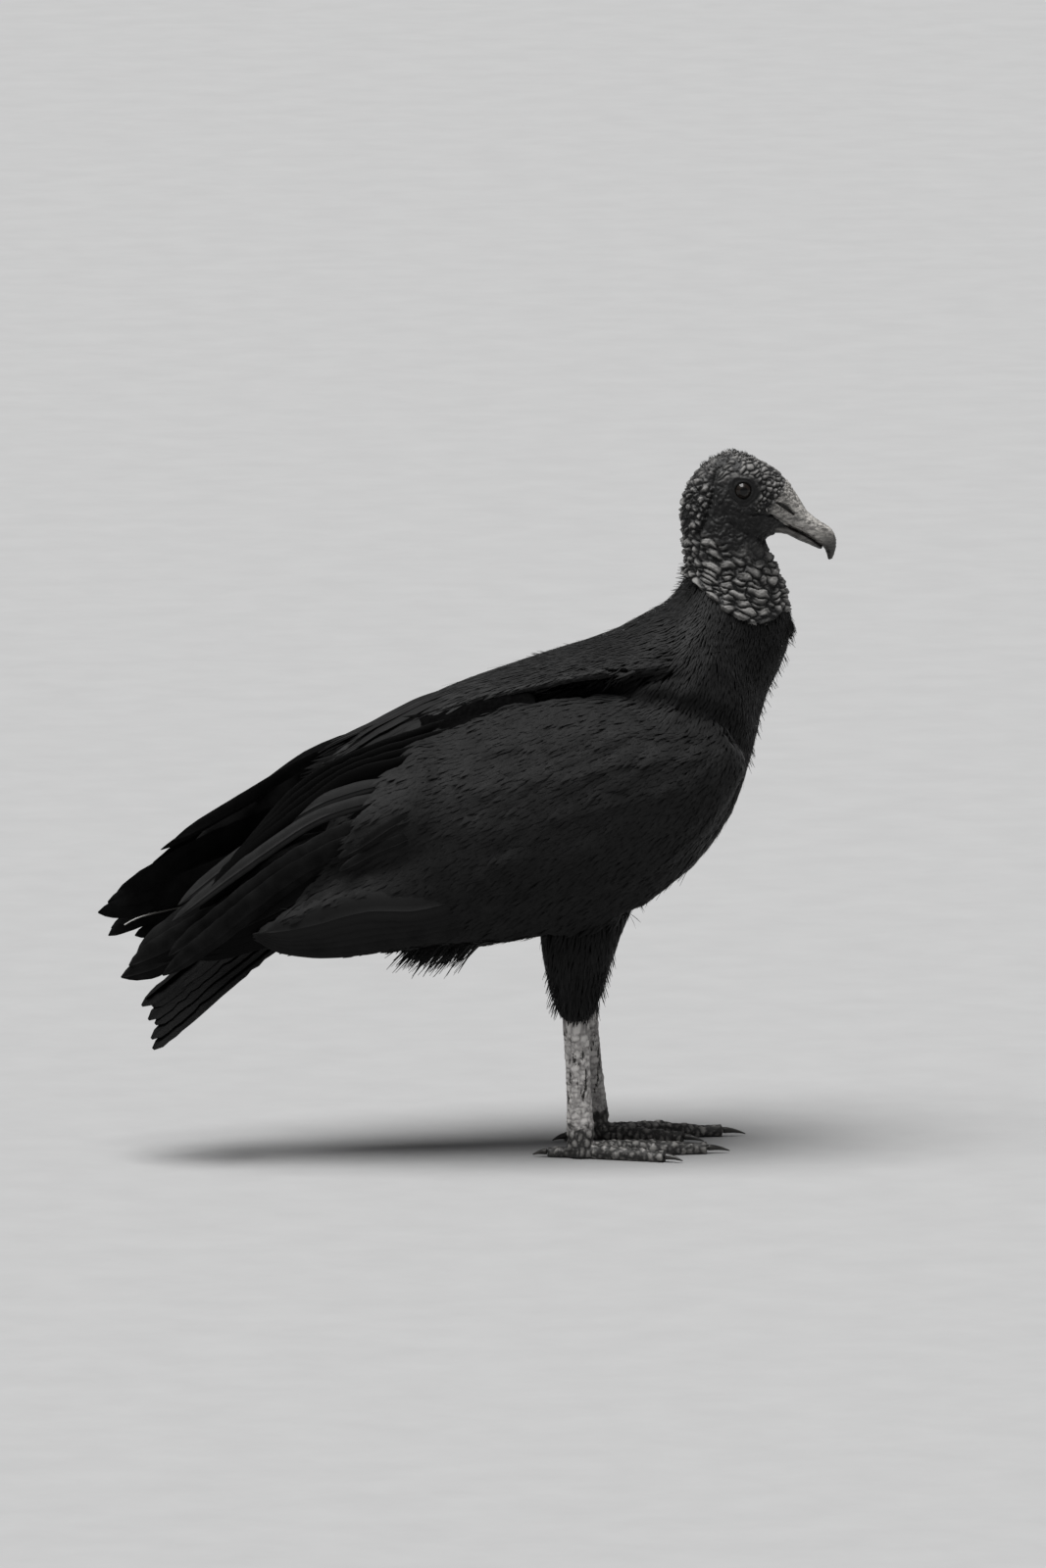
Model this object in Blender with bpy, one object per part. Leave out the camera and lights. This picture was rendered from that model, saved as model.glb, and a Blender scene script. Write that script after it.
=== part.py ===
"""Black vulture, standing: a still, life-size model in named pieces.

Metres. +X is the way the bird faces, +Y its left side, +Z up, and z = 0 is the floor it stands on.
The body is one loft from rump to face, parted with thin cuts. Wings, cape, tail, legs and toes are lofts of
their own, each cut back by the pieces that it lies against, so that a thin gap runs round every piece.
"""

import math
from collections import namedtuple

import bmesh
import bpy
from mathutils import Matrix, Vector

GAP = 0.0003  # between neighbouring pieces
SLIVER = 0.000002  # edges shorter than this are merged after a cut
BODY_SIDES = 18
LOFT_STEPS = 2  # rings for each stretch between two stations

# The bird's own line: each station is a section from the back to the belly, seen from the side as (x, z),
# with its half width, how square it is (2 is an ellipse) and how far its widest level lies towards the back.
Station = namedtuple("Station", "back belly half_width square bias")
BODY_LINE = [
    Station((-0.100, 0.186), (-0.090, 0.160), 0.013, 2.0, 0.0),
    Station((-0.084, 0.220), (-0.060, 0.142), 0.023, 2.0, 0.0),
    Station((-0.052, 0.258), (-0.016, 0.129), 0.032, 2.0, 0.0),
    Station((0.000, 0.288), (0.040, 0.1355), 0.045, 2.1, 0.06),
    Station((0.046, 0.304), (0.084, 0.1425), 0.059, 2.2, 0.10),
    Station((0.080, 0.315), (0.1155, 0.161), 0.066, 2.3, 0.08),
    Station((0.106, 0.329), (0.1425, 0.179), 0.067, 2.3, 0.04),
    Station((0.126, 0.3445), (0.168, 0.213), 0.061, 2.2, 0.0),
    Station((0.1372, 0.3560), (0.1825, 0.254), 0.050, 2.1, 0.0),
    Station((0.1405, 0.3645), (0.1900, 0.285), 0.040, 2.1, 0.0),
    Station((0.1410, 0.3725), (0.2055, 0.317), 0.034, 2.1, 0.0),
    Station((0.1395, 0.3820), (0.2078, 0.344), 0.029, 2.1, 0.0),
    Station((0.1385, 0.3905), (0.2020, 0.363), 0.0256, 2.1, 0.0),
    Station((0.1375, 0.3985), (0.1948, 0.377), 0.0235, 2.1, 0.0),
    Station((0.1373, 0.4065), (0.1918, 0.3848), 0.0222, 2.1, 0.0),
    Station((0.1392, 0.4165), (0.1915, 0.3866), 0.0213, 2.2, 0.0),
    Station((0.1450, 0.4280), (0.1920, 0.3875), 0.0210, 2.3, 0.0),
    Station((0.1570, 0.4385), (0.1930, 0.3885), 0.0209, 2.4, 0.0),
    Station((0.1715, 0.4430), (0.1945, 0.3893), 0.0206, 2.4, 0.04),
    Station((0.1890, 0.4365), (0.1965, 0.3900), 0.0178, 2.3, 0.06),
    Station((0.2013, 0.4285), (0.1995, 0.3935), 0.0146, 2.2, 0.0),
    Station((0.2095, 0.4178), (0.2065, 0.3945), 0.0116, 2.2, -0.05),
    Station((0.2168, 0.4060), (0.2130, 0.3918), 0.0094, 2.2, -0.10),
]

# Where the body is parted, each as two points (x, z) of a plane across it, from the back to the front.
NECK_BASE = ((0.1335, 0.3515), (0.1768, 0.2360))
BARE_SKIN_EDGE = ((0.1405, 0.368), (0.2090, 0.332))
HEAD_BASE = ((0.1375, 0.399), (0.1920, 0.3842))

BILL_SIDES = 10
UPPER_BILL = [
    Station((0.2172, 0.4055), (0.2134, 0.3914), 0.0092, 2.3, -0.10),
    Station((0.2225, 0.4003), (0.2185, 0.3883), 0.0083, 2.3, -0.05),
    Station((0.2285, 0.3964), (0.2235, 0.3853), 0.0073, 2.2, 0.0),
    Station((0.2340, 0.3925), (0.2275, 0.3822), 0.0062, 2.1, 0.0),
    Station((0.2368, 0.3862), (0.2302, 0.3795), 0.0050, 2.0, 0.0),
    Station((0.2366, 0.3797), (0.2315, 0.3765), 0.0034, 2.0, 0.0),
    Station((0.2345, 0.3735), (0.2323, 0.3730), 0.0016, 2.0, 0.0),
]
LOWER_BILL = [
    Station((0.1985, 0.3985), (0.1985, 0.3915), 0.0085, 2.2, 0.0),
    Station((0.2055, 0.3955), (0.2055, 0.3899), 0.0082, 2.2, 0.0),
    Station((0.2135, 0.3915), (0.2125, 0.3862), 0.0072, 2.2, 0.0),
    Station((0.2215, 0.3865), (0.2200, 0.3831), 0.0057, 2.2, 0.0),
    Station((0.2280, 0.3818), (0.2268, 0.3798), 0.0038, 2.0, 0.0),
]

EYE_PLACE = (0.1738, 0.0150, 0.4205)
EYE_RADIUS = 0.0067
EYE_SIDES = 12
EYE_RINGS = 8

# The cape of mantle and scapular feathers over the back: x, height at the middle, half width and the drop to
# its edge.
Cape = namedtuple("Cape", "x top half_width drop")
CAPE_LINE = [
    Cape(-0.080, 0.2590, 0.006, 0.002),
    Cape(-0.064, 0.2700, 0.012, 0.002),
    Cape(-0.048, 0.2785, 0.017, 0.003),
    Cape(-0.010, 0.2957, 0.029, 0.004),
    Cape(0.030, 0.3085, 0.042, 0.006),
    Cape(0.071, 0.3205, 0.054, 0.009),
    Cape(0.100, 0.3310, 0.059, 0.017),
    Cape(0.126, 0.3465, 0.053, 0.032),
]
CAPE_DEPTH = 0.024
CAPE_EDGE_DEPTH = 0.004
CAPE_POINTS = 11

# Wing plates, for the left wing: each station has three points (x, y, z) of the outer surface, from the edge
# nearest the back, over the bulge, to the lower edge.
Rib = namedtuple("Rib", "upper bulge lower")
COVERTS = [
    Rib((0.1655, 0.050, 0.264), (0.1690, 0.058, 0.256), (0.1675, 0.054, 0.247)),
    Rib((0.1540, 0.051, 0.281), (0.1590, 0.073, 0.253), (0.1580, 0.057, 0.223)),
    Rib((0.1220, 0.053, 0.292), (0.1300, 0.085, 0.242), (0.1340, 0.058, 0.188)),
    Rib((0.0880, 0.055, 0.297), (0.0960, 0.088, 0.235), (0.1040, 0.056, 0.162)),
    Rib((0.0450, 0.050, 0.295), (0.0530, 0.085, 0.226), (0.0610, 0.055, 0.149)),
    Rib((0.0050, 0.040, 0.288), (0.0100, 0.078, 0.220), (0.0160, 0.055, 0.142)),
    Rib((-0.0400, 0.024, 0.276), (-0.0400, 0.068, 0.212), (-0.0400, 0.053, 0.137)),
]
COVERTS_END = -0.0400  # where the covert plate stops and the flight feathers begin
TERTIALS = [
    Rib((-0.0405, 0.023, 0.276), (-0.0410, 0.066, 0.238), (-0.0430, 0.066, 0.200)),
    Rib((-0.0650, 0.010, 0.267), (-0.0700, 0.055, 0.236), (-0.0800, 0.059, 0.198)),
    Rib((-0.1020, 0.005, 0.247), (-0.1090, 0.043, 0.219), (-0.1180, 0.049, 0.185)),
    Rib((-0.1420, 0.005, 0.210), (-0.1530, 0.032, 0.187), (-0.1610, 0.037, 0.156)),
    Rib((-0.1820, 0.009, 0.171), (-0.1940, 0.025, 0.154), (-0.1980, 0.027, 0.130)),
    Rib((-0.2040, 0.014, 0.156), (-0.2110, 0.022, 0.144), (-0.2070, 0.023, 0.129)),
]
SECONDARIES = [
    Rib((-0.0405, 0.067, 0.196), (-0.0410, 0.068, 0.166), (-0.0390, 0.054, 0.1365)),
    Rib((-0.0750, 0.060, 0.185), (-0.0800, 0.060, 0.159), (-0.0850, 0.048, 0.1330)),
    Rib((-0.1120, 0.050, 0.173), (-0.1180, 0.050, 0.154), (-0.1240, 0.041, 0.1355)),
    Rib((-0.1360, 0.042, 0.160), (-0.1410, 0.041, 0.152), (-0.1440, 0.038, 0.146)),
]
PRIMARIES = [
    Rib((-0.1100, 0.020, 0.226), (-0.1180, 0.033, 0.206), (-0.1240, 0.039, 0.182)),
    Rib((-0.1500, 0.015, 0.190), (-0.1580, 0.026, 0.174), (-0.1640, 0.030, 0.154)),
    Rib((-0.1880, 0.014, 0.159), (-0.1950, 0.019, 0.144), (-0.1950, 0.020, 0.130)),
    Rib((-0.2190, 0.014, 0.1265), (-0.2220, 0.0155, 0.1220), (-0.2225, 0.016, 0.1180)),
]
COVERT_DEPTH = (0.030, 0.010)  # at the wrist, where the arm lies folded in them, and at their rear edge
PLATE_DEPTH = (0.0035, 0.0035)
PRIMARY_DEPTH = (0.0025, 0.0025)
RIB_POINTS = 7
# The left wing lies higher over the tail than the right one: its flight feathers turn up about this place,
# and are drawn in along the wing.
LEFT_WING_PIVOT = (-0.085, 0.0, 0.255)
LEFT_TERTIALS_LIFT = math.radians(11.0)
LEFT_TERTIALS_DRAWN_IN = 0.024
LEFT_PRIMARIES_LIFT = math.radians(10.0)
LEFT_PRIMARIES_DRAWN_IN = 0.010
WING_SLOPE = math.radians(44.0)

# The tail, a fan that falls away to its sides and hangs lower on the right: x, height at the middle, half
# width and the drop to its edge.
TAIL_LINE = [
    Cape(-0.060, 0.1905, 0.015, 0.003),
    Cape(-0.090, 0.1670, 0.019, 0.005),
    Cape(-0.120, 0.1475, 0.022, 0.007),
    Cape(-0.162, 0.1260, 0.026, 0.009),
    Cape(-0.208, 0.0995, 0.029, 0.0105),
]
TAIL_SLANT = 0.34
TAIL_FEATHERS = 12
TAIL_NOTCH = 0.0035  # how far the end is cut in between two feather tips
TAIL_DEPTH = 0.003

# Legs. Each is given by its standing place on the floor; the left foot stands ahead of the right.
LEG_SPREAD = 0.0370
FOOT_X = {"right": 0.0665, "left": 0.0890}
ANKLE_X = {"right": 0.0635, "left": 0.0815}
ANKLE_HEIGHT = 0.088
PAD_HEIGHT = 0.014
PAD_RADIUS = 0.0085
PAD_HALF_WIDTH = 0.0077
TARSUS_SIZE = (0.0078, 0.0060)  # half depth and half width at the middle
TARSUS_SWELL = 0.16  # how much thicker it is at its ends
TARSUS_RINGS = 7
PAD_ROUND = ((0.0, 0.80), (0.0025, 1.0), (0.0085, 1.0), (PAD_HEIGHT, 0.92))  # height, and share of its radius
LEG_SIDES = 10
# Feathered thigh, as (height, back, front, half width, y of its middle) with x measured from the ankle.
Shank = namedtuple("Shank", "z back front half_width y")
THIGH = [
    Shank(0.088, -0.0095, 0.0100, 0.0090, 0.038),
    Shank(0.098, -0.0140, 0.0140, 0.0110, 0.038),
    Shank(0.117, -0.0195, 0.0195, 0.0150, 0.038),
    Shank(0.136, -0.0225, 0.0265, 0.0185, 0.037),
    Shank(0.158, -0.0245, 0.0365, 0.0195, 0.035),
]
THIGH_SIDES = 14

# Toes of the right foot: heading from straight ahead (outwards is positive), length, radius at the root and
# at the tip, and length of the claw.
Toe = namedtuple("Toe", "heading length root tip claw")
TOES = {
    1: Toe(math.radians(-162), 0.0210, 0.0042, 0.0033, 0.0095),
    2: Toe(math.radians(-25), 0.0580, 0.0054, 0.0036, 0.0135),
    3: Toe(math.radians(-2), 0.0815, 0.0062, 0.0038, 0.0150),
    4: Toe(math.radians(29), 0.0560, 0.0052, 0.0035, 0.0120),
}
TOE_SIDES = 8
TOE_RINGS = 7
TOE_JOINTS = 3
TOE_SWELL = 0.07  # how much thicker a toe is at its joints
TOE_SINK = 0.80  # height of a toe's middle in radii: below 1 leaves it a flat sole
CLAW_SIDES = 6
CLAW_RINGS = 4
CLAW_ROOT = 0.0026
CLAW_THINNING = 0.86  # the share of its radius that a claw loses to its tip
CLAW_RISE = 0.0006  # its root's middle above the toe's
CLAW_TIP_HEIGHT = 0.0010
CLAW_CLEARANCE = 0.0004  # claws stay this far off the floor

COLOURS = {
    "plumage": ((0.016, 0.016, 0.018), 0.60),
    "flight": ((0.014, 0.014, 0.016), 0.50),
    "skin": ((0.070, 0.068, 0.070), 0.65),
    "horn": ((0.240, 0.225, 0.205), 0.40),
    "scale": ((0.330, 0.320, 0.300), 0.60),
    "claw": ((0.020, 0.019, 0.018), 0.35),
    "eye": ((0.012, 0.009, 0.008), 0.08),
}


def clear_scene():
    for old in list(bpy.data.objects):
        bpy.data.objects.remove(old)


def new_collection(name):
    made = bpy.data.collections.new(name)
    bpy.context.scene.collection.children.link(made)
    return made


def material(kind):
    """The Principled material of one kind of surface, made once."""
    found = bpy.data.materials.get(kind)
    if found:
        return found
    colour, roughness = COLOURS[kind]
    made = bpy.data.materials.new(kind)
    made.use_nodes = True
    shader = made.node_tree.nodes["Principled BSDF"]
    shader.inputs["Base Color"].default_value = (*colour, 1.0)
    shader.inputs["Roughness"].default_value = roughness
    return made


def through(stations, at):
    """The value at place `at` (in stations) of a smooth curve through a list of equal-length vectors."""
    last = len(stations) - 1
    i = min(int(at), last - 1)
    t = at - i
    before, start = stations[max(i - 1, 0)], stations[i]
    end, after = stations[i + 1], stations[min(i + 2, last)]
    return [
        0.5 * (2 * b + (c - a) * t + (2 * a - 5 * b + 4 * c - d) * t**2 + (3 * b - a - 3 * c + d) * t**3)
        for a, b, c, d in zip(before, start, end, after)
    ]


def smooth_run(stations, steps=LOFT_STEPS):
    """Every interpolated station from the first to the last."""
    count = (len(stations) - 1) * steps
    return [through(stations, k / steps) for k in range(count + 1)]


def loft(name, rings, kind):
    """A closed solid through rings of equal length, its sides in triangles, with a flat cap at each end."""
    work = bmesh.new()
    loops = [[work.verts.new(point) for point in ring] for ring in rings]
    sides = len(rings[0])
    for low, high in zip(loops, loops[1:]):
        for k in range(sides):
            n = (k + 1) % sides
            work.faces.new((low[k], low[n], high[n], high[k]))
    bmesh.ops.triangulate(work, faces=work.faces)
    work.faces.new(loops[0][::-1])
    work.faces.new(loops[-1])
    return solid(name, work, kind)


def solid(name, work, kind):
    """The object of a finished bmesh, with outward normals and smooth shading."""
    bmesh.ops.recalc_face_normals(work, faces=work.faces)
    mesh = bpy.data.meshes.new(name)
    work.to_mesh(mesh)
    work.free()
    mesh.materials.append(material(kind))
    mesh.shade_smooth()
    made = bpy.data.objects.new(name, mesh)
    vulture.objects.link(made)
    return made


def section(back, belly, half_width, square, bias, sides):
    """A ring round the line from back to belly, which are (x, z) points in the bird's middle plane."""
    power = 2.0 / square
    ring = []
    for k in range(sides):
        turn = 2 * math.pi * (k + 0.5) / sides
        up, out = math.cos(turn), math.sin(turn)
        up = math.copysign(abs(up) ** power, up)
        out = math.copysign(abs(out) ** power, out)
        share = (1 - up) / 2
        ring.append((
            back[0] + (belly[0] - back[0]) * share,
            half_width * out * (1 + bias * up),
            back[1] + (belly[1] - back[1]) * share,
        ))
    return ring


def section_rings(line, sides):
    flat = [(*s.back, *s.belly, s.half_width, s.square, s.bias) for s in line]
    return [section(v[0:2], v[2:4], v[4], v[5], v[6], sides) for v in smooth_run(flat)]


def cut_away(piece, point, normal):
    """Cuts a piece's mesh with a plane, keeps the side behind the normal, and closes it."""
    work = bmesh.new()
    work.from_mesh(piece.data)
    everything = work.verts[:] + work.edges[:] + work.faces[:]
    cut = bmesh.ops.bisect_plane(work, geom=everything, plane_co=point, plane_no=normal, clear_outer=True)
    edges = [e for e in cut["geom_cut"] if isinstance(e, bmesh.types.BMEdge)]
    bmesh.ops.contextual_create(work, geom=edges)
    bmesh.ops.recalc_face_normals(work, faces=work.faces)
    work.to_mesh(piece.data)
    work.free()


def plane_through(line):
    """Point and normal, facing ahead or up, of the plane across the bird through two (x, z) points."""
    (x0, z0), (x1, z1) = line
    normal = Vector((z0 - z1, 0, x1 - x0)).normalized()
    return Vector((x0, 0, z0)), normal


def body_part(name, kind, after=None, before=None):
    """The stretch of the body between two parting planes, half a gap away from each."""
    made = loft(name, section_rings(BODY_LINE, BODY_SIDES), kind)
    if before:
        point, normal = plane_through(before)
        cut_away(made, point - normal * GAP / 2, normal)
    if after:
        point, normal = plane_through(after)
        cut_away(made, point + normal * GAP / 2, -normal)
    return made


def swollen_mesh(mesh):
    """A copy of a mesh whose every face lies a gap further out."""
    work = bmesh.new()
    work.from_mesh(mesh)
    moves = [(v, v.normal * GAP * min(v.calc_shell_factor(), 3.0)) for v in work.verts]
    for vertex, move in moves:
        vertex.co += move
    grown = bpy.data.meshes.new(f"{mesh.name}_swollen")
    work.to_mesh(grown)
    work.free()
    return grown


def make_room(piece, *neighbours):
    """Cuts the whole shapes of neighbours, swollen by the gap, out of a piece, and keeps its largest body."""
    for other in neighbours:
        shape = whole_shapes.get(other.name, other.data)
        swollen = bpy.data.objects.new(f"room_for_{other.name}_in_{piece.name}", swollen_mesh(shape))
        swollen.matrix_world = other.matrix_world
        swollen.hide_render = True
        swollen.display_type = "WIRE"
        cutters.objects.link(swollen)
        cut = piece.modifiers.new(swollen.name, "BOOLEAN")
        cut.operation = "DIFFERENCE"
        cut.solver = "EXACT"
        cut.object = swollen
    bpy.context.view_layer.update()
    graph = bpy.context.evaluated_depsgraph_get()
    carved = bpy.data.meshes.new_from_object(piece.evaluated_get(graph))
    piece.modifiers.clear()
    keep_largest(carved)
    whole_shapes.setdefault(piece.name, piece.data)
    piece.data = carved


def keep_largest(mesh):
    """Removes all but the body with the most surface, and the slivers that a cut leaves."""
    work = bmesh.new()
    work.from_mesh(mesh)
    bmesh.ops.remove_doubles(work, verts=work.verts, dist=SLIVER)
    bmesh.ops.dissolve_degenerate(work, dist=SLIVER, edges=work.edges)
    bodies, left = [], set(work.faces)
    while left:
        reached, rim = set(), {left.pop()}
        while rim:
            reached |= rim
            rim = {near for face in rim for edge in face.edges for near in edge.link_faces} - reached
        left -= reached
        bodies.append(reached)
    bodies.sort(key=lambda faces: sum(face.calc_area() for face in faces))
    bmesh.ops.delete(work, geom=[face for body in bodies[:-1] for face in body], context="FACES")
    work.to_mesh(mesh)
    work.free()


def body():
    return (
        body_part("trunk", "plumage", before=NECK_BASE),
        body_part("neck_lower", "plumage", after=NECK_BASE, before=BARE_SKIN_EDGE),
        body_part("neck_upper", "skin", after=BARE_SKIN_EDGE, before=HEAD_BASE),
        body_part("head", "skin", after=HEAD_BASE),
    )


def bill(head):
    upper = loft("bill_upper", section_rings(UPPER_BILL, BILL_SIDES), "horn")
    lower = loft("bill_lower", section_rings(LOWER_BILL, BILL_SIDES), "horn")
    make_room(upper, head)
    make_room(lower, head, upper)


def eye(side, out):
    bpy.ops.mesh.primitive_uv_sphere_add(
        segments=EYE_SIDES, ring_count=EYE_RINGS, radius=EYE_RADIUS,
        location=(EYE_PLACE[0], out * EYE_PLACE[1], EYE_PLACE[2]),
    )
    made = bpy.context.object
    made.name = f"eye_{side}"
    made.data.name = made.name
    made.data.materials.append(material("eye"))
    made.data.shade_smooth()
    for owner in list(made.users_collection):
        owner.objects.unlink(made)
    vulture.objects.link(made)
    bpy.context.view_layer.update()
    return made


def arch(station, points):
    """A ring across the bird: an arched outer line, and an inner line that nears it at both edges."""
    x, top, half_width, drop = station
    outer, inner = [], []
    for k in range(points):
        share = 2 * k / (points - 1) - 1
        place = Vector((x, half_width * share, top - drop * abs(share) ** 2.2))
        depth = CAPE_EDGE_DEPTH + (CAPE_DEPTH - CAPE_EDGE_DEPTH) * (1 - share**2)
        outer.append(place)
        inner.append(place - Vector((0, 0.02 * place.y, depth)))
    return outer + inner[::-1]


def cape():
    rings = [arch(v, CAPE_POINTS) for v in smooth_run(CAPE_LINE)]
    return loft("mantle", rings, "plumage")


def rib_ring(flat, depth, out):
    """A closed ring for one wing station: the outer line over three points, and the same line set inwards."""
    upper, bulge, lower = (Vector(flat[i : i + 3]) for i in (0, 3, 6))
    pull = 2 * bulge - (upper + lower) / 2
    outer, inner = [], []
    for k in range(RIB_POINTS):
        t = k / (RIB_POINTS - 1)
        place = upper * (1 - t) ** 2 + pull * 2 * t * (1 - t) + lower * t**2
        thick = depth * (0.45 + 0.55 * math.sin(math.pi * t))
        outer.append(place)
        inner.append(place - Vector((0, thick, 0)))
    return [(p.x, p.y * out, p.z) for p in outer + inner[::-1]]


def wing_plate(name, ribs, depth, out, kind, move=None):
    """A plate through a wing's stations, with a depth at its first and its last."""
    run = smooth_run([(*r.upper, *r.bulge, *r.lower) for r in ribs])
    first, last = depth
    change = (last - first) / (len(run) - 1)
    made = loft(name, [rib_ring(flat, first + change * k, out) for k, flat in enumerate(run)], kind)
    if move:
        made.data.transform(move)
    return made


def lifted(lift, drawn_in):
    """The move that raises feathers of the left wing about their pivot, and draws them in along the wing."""
    pivot = Matrix.Translation(LEFT_WING_PIVOT)
    turn = Matrix.Rotation(lift, 4, "Y")
    slide = Matrix.Translation((drawn_in * math.cos(WING_SLOPE), 0, drawn_in * math.sin(WING_SLOPE)))
    return pivot @ turn @ pivot.inverted() @ slide


def wing(side, out, trunk, mantle):
    left = side == "left"
    coverts = wing_plate(f"wing_{side}_coverts", COVERTS, COVERT_DEPTH, out, "plumage")
    tertials = wing_plate(
        f"wing_{side}_tertials", TERTIALS, PLATE_DEPTH, out, "flight",
        lifted(LEFT_TERTIALS_LIFT, LEFT_TERTIALS_DRAWN_IN) if left else None,
    )
    secondaries = wing_plate(f"wing_{side}_secondaries", SECONDARIES, PLATE_DEPTH, out, "flight")
    primaries = wing_plate(
        f"wing_{side}_primaries", PRIMARIES, PRIMARY_DEPTH, out, "flight",
        lifted(LEFT_PRIMARIES_LIFT, LEFT_PRIMARIES_DRAWN_IN) if left else None,
    )
    make_room(coverts, trunk, mantle)
    for plate in (tertials, secondaries):
        cut_away(plate, Vector((COVERTS_END - GAP, 0, 0)), Vector((1, 0, 0)))
    make_room(tertials, trunk, mantle)
    make_room(secondaries, trunk, tertials)
    make_room(primaries, trunk, tertials)
    return coverts


def tail(trunk):
    """One arched and slanting plate whose end is notched between the feather tips."""
    columns = TAIL_FEATHERS * 2 + 1
    *run, before_end, end = [Vector(v) for v in TAIL_LINE]
    notches = end + (before_end - end).normalized() * TAIL_NOTCH
    rings = []
    for station in (*run, before_end, end):
        outer = []
        for k in range(columns):
            share = 2 * k / (columns - 1) - 1
            x, top, half_width, drop = notches if station is end and k % 2 == 0 else station
            y = half_width * share
            outer.append(Vector((x, y, top - drop * abs(share) ** 1.6 + TAIL_SLANT * y)))
        rings.append(outer + [place - Vector((0, 0, TAIL_DEPTH)) for place in outer[::-1]])
    made = loft("tail", rings, "flight")
    make_room(made, trunk)


def upright_ring(x, y, z, half_depth, half_width, sides):
    turns = [2 * math.pi * k / sides for k in range(sides)]
    return [(x + half_depth * math.cos(turn), y + half_width * math.sin(turn), z) for turn in turns]


def thigh_of(side, out, trunk, coverts):
    rings = []
    for z, back, front, half_width, y in smooth_run(THIGH):
        middle = ANKLE_X[side] + (back + front) / 2
        rings.append(upright_ring(middle, out * y, z, (front - back) / 2, half_width, THIGH_SIDES))
    made = loft(f"thigh_{side}", rings, "plumage")
    make_room(made, trunk, coverts)


def tarsus_of(side, out):
    """The bare shank: straight, and thicker at the ankle and at the foot than between."""
    low, high = PAD_HEIGHT + GAP, ANKLE_HEIGHT - GAP
    half_depth, half_width = TARSUS_SIZE
    rings = []
    for k in range(TARSUS_RINGS + 1):
        share = k / TARSUS_RINGS
        swell = 1 + TARSUS_SWELL * abs(2 * share - 1) ** 2.5
        x = FOOT_X[side] + (ANKLE_X[side] - FOOT_X[side]) * share
        z = low + (high - low) * share
        rings.append(upright_ring(x, out * LEG_SPREAD, z, half_depth * swell, half_width * swell, LEG_SIDES))
    return loft(f"tarsus_{side}", rings, "scale")


def pad_of(side, out):
    """The ball of the foot, flat below and above."""
    rings = [
        upright_ring(FOOT_X[side], out * LEG_SPREAD, z, PAD_RADIUS * share, PAD_HALF_WIDTH * share, LEG_SIDES)
        for z, share in PAD_ROUND
    ]
    return loft(f"foot_{side}", rings, "scale")


def toe_ring(start, ahead, across, along, height, radius, sides):
    centre = start + ahead * along + Vector((0, 0, height))
    up = Vector((0, 0, 1))
    turns = [2 * math.pi * k / sides for k in range(sides)]
    return [centre + (across * math.cos(turn) + up * math.sin(turn)) * radius for turn in turns]


def toe_of(side, out, number):
    """One toe, a tapering tube with a swelling at each joint and a flat sole, and its claw."""
    toe = TOES[number]
    start = Vector((FOOT_X[side], out * LEG_SPREAD, 0))
    ahead = Vector((math.cos(toe.heading), out * math.sin(toe.heading), 0))
    across = Vector((-ahead.y, ahead.x, 0))
    rings = []
    for k in range(TOE_RINGS + 1):
        share = k / TOE_RINGS
        radius = toe.root + (toe.tip - toe.root) * share
        radius *= 1 + TOE_SWELL * math.cos(2 * math.pi * TOE_JOINTS * share)
        rings.append(toe_ring(start, ahead, across, toe.length * share, TOE_SINK * radius, radius, TOE_SIDES))
    made = loft(f"toe_{side}_{number}", rings, "scale")
    cut_away(made, Vector((0, 0, 0)), Vector((0, 0, -1)))
    claw_of(side, number, toe, start, ahead, across)
    return made


def claw_of(side, number, toe, start, ahead, across):
    """A claw that leaves the toe's end level and curves down to a point just off the floor."""
    rings = []
    root_height = toe.tip * TOE_SINK + CLAW_RISE
    for k in range(CLAW_RINGS + 1):
        share = k / CLAW_RINGS
        radius = CLAW_ROOT * (1 - CLAW_THINNING * share**1.2)
        along = toe.length + GAP + toe.claw * share
        height = root_height - (root_height - CLAW_TIP_HEIGHT) * share**2.2
        height = max(height, radius + CLAW_CLEARANCE)
        rings.append(toe_ring(start, ahead, across, along, height, radius, CLAW_SIDES))
    loft(f"claw_{side}_{number}", rings, "claw")


def foot(side, out):
    pad = pad_of(side, out)
    toes = {number: toe_of(side, out, number) for number in TOES}
    for number in (2, 4):
        make_room(toes[number], pad, toes[3])
    for number in (1, 3):
        make_room(toes[number], pad)


clear_scene()
vulture = new_collection("black_vulture")
cutters = new_collection("cutters")
whole_shapes = {}  # the mesh of each cut piece as it was before its cuts
trunk, neck_lower, _, head = body()
mantle = cape()
make_room(mantle, trunk, neck_lower)
bill(head)
tail(trunk)
for side, out in (("right", -1), ("left", 1)):
    make_room(head, eye(side, out))
    thigh_of(side, out, trunk, wing(side, out, trunk, mantle))
    tarsus_of(side, out)
    foot(side, out)
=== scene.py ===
"""The looks of the black vulture: one skin, a coat of separate feathers over it, and bill, eyes and claws.

Metres, in the model's own frame: +X is the way the bird faces, +Y its left side, +Z up, z = 0 the floor.
"""

import itertools
import math

import bpy
import numpy as np
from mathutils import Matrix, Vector
from mathutils.bvhtree import BVHTree
from mathutils.kdtree import KDTree


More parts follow.
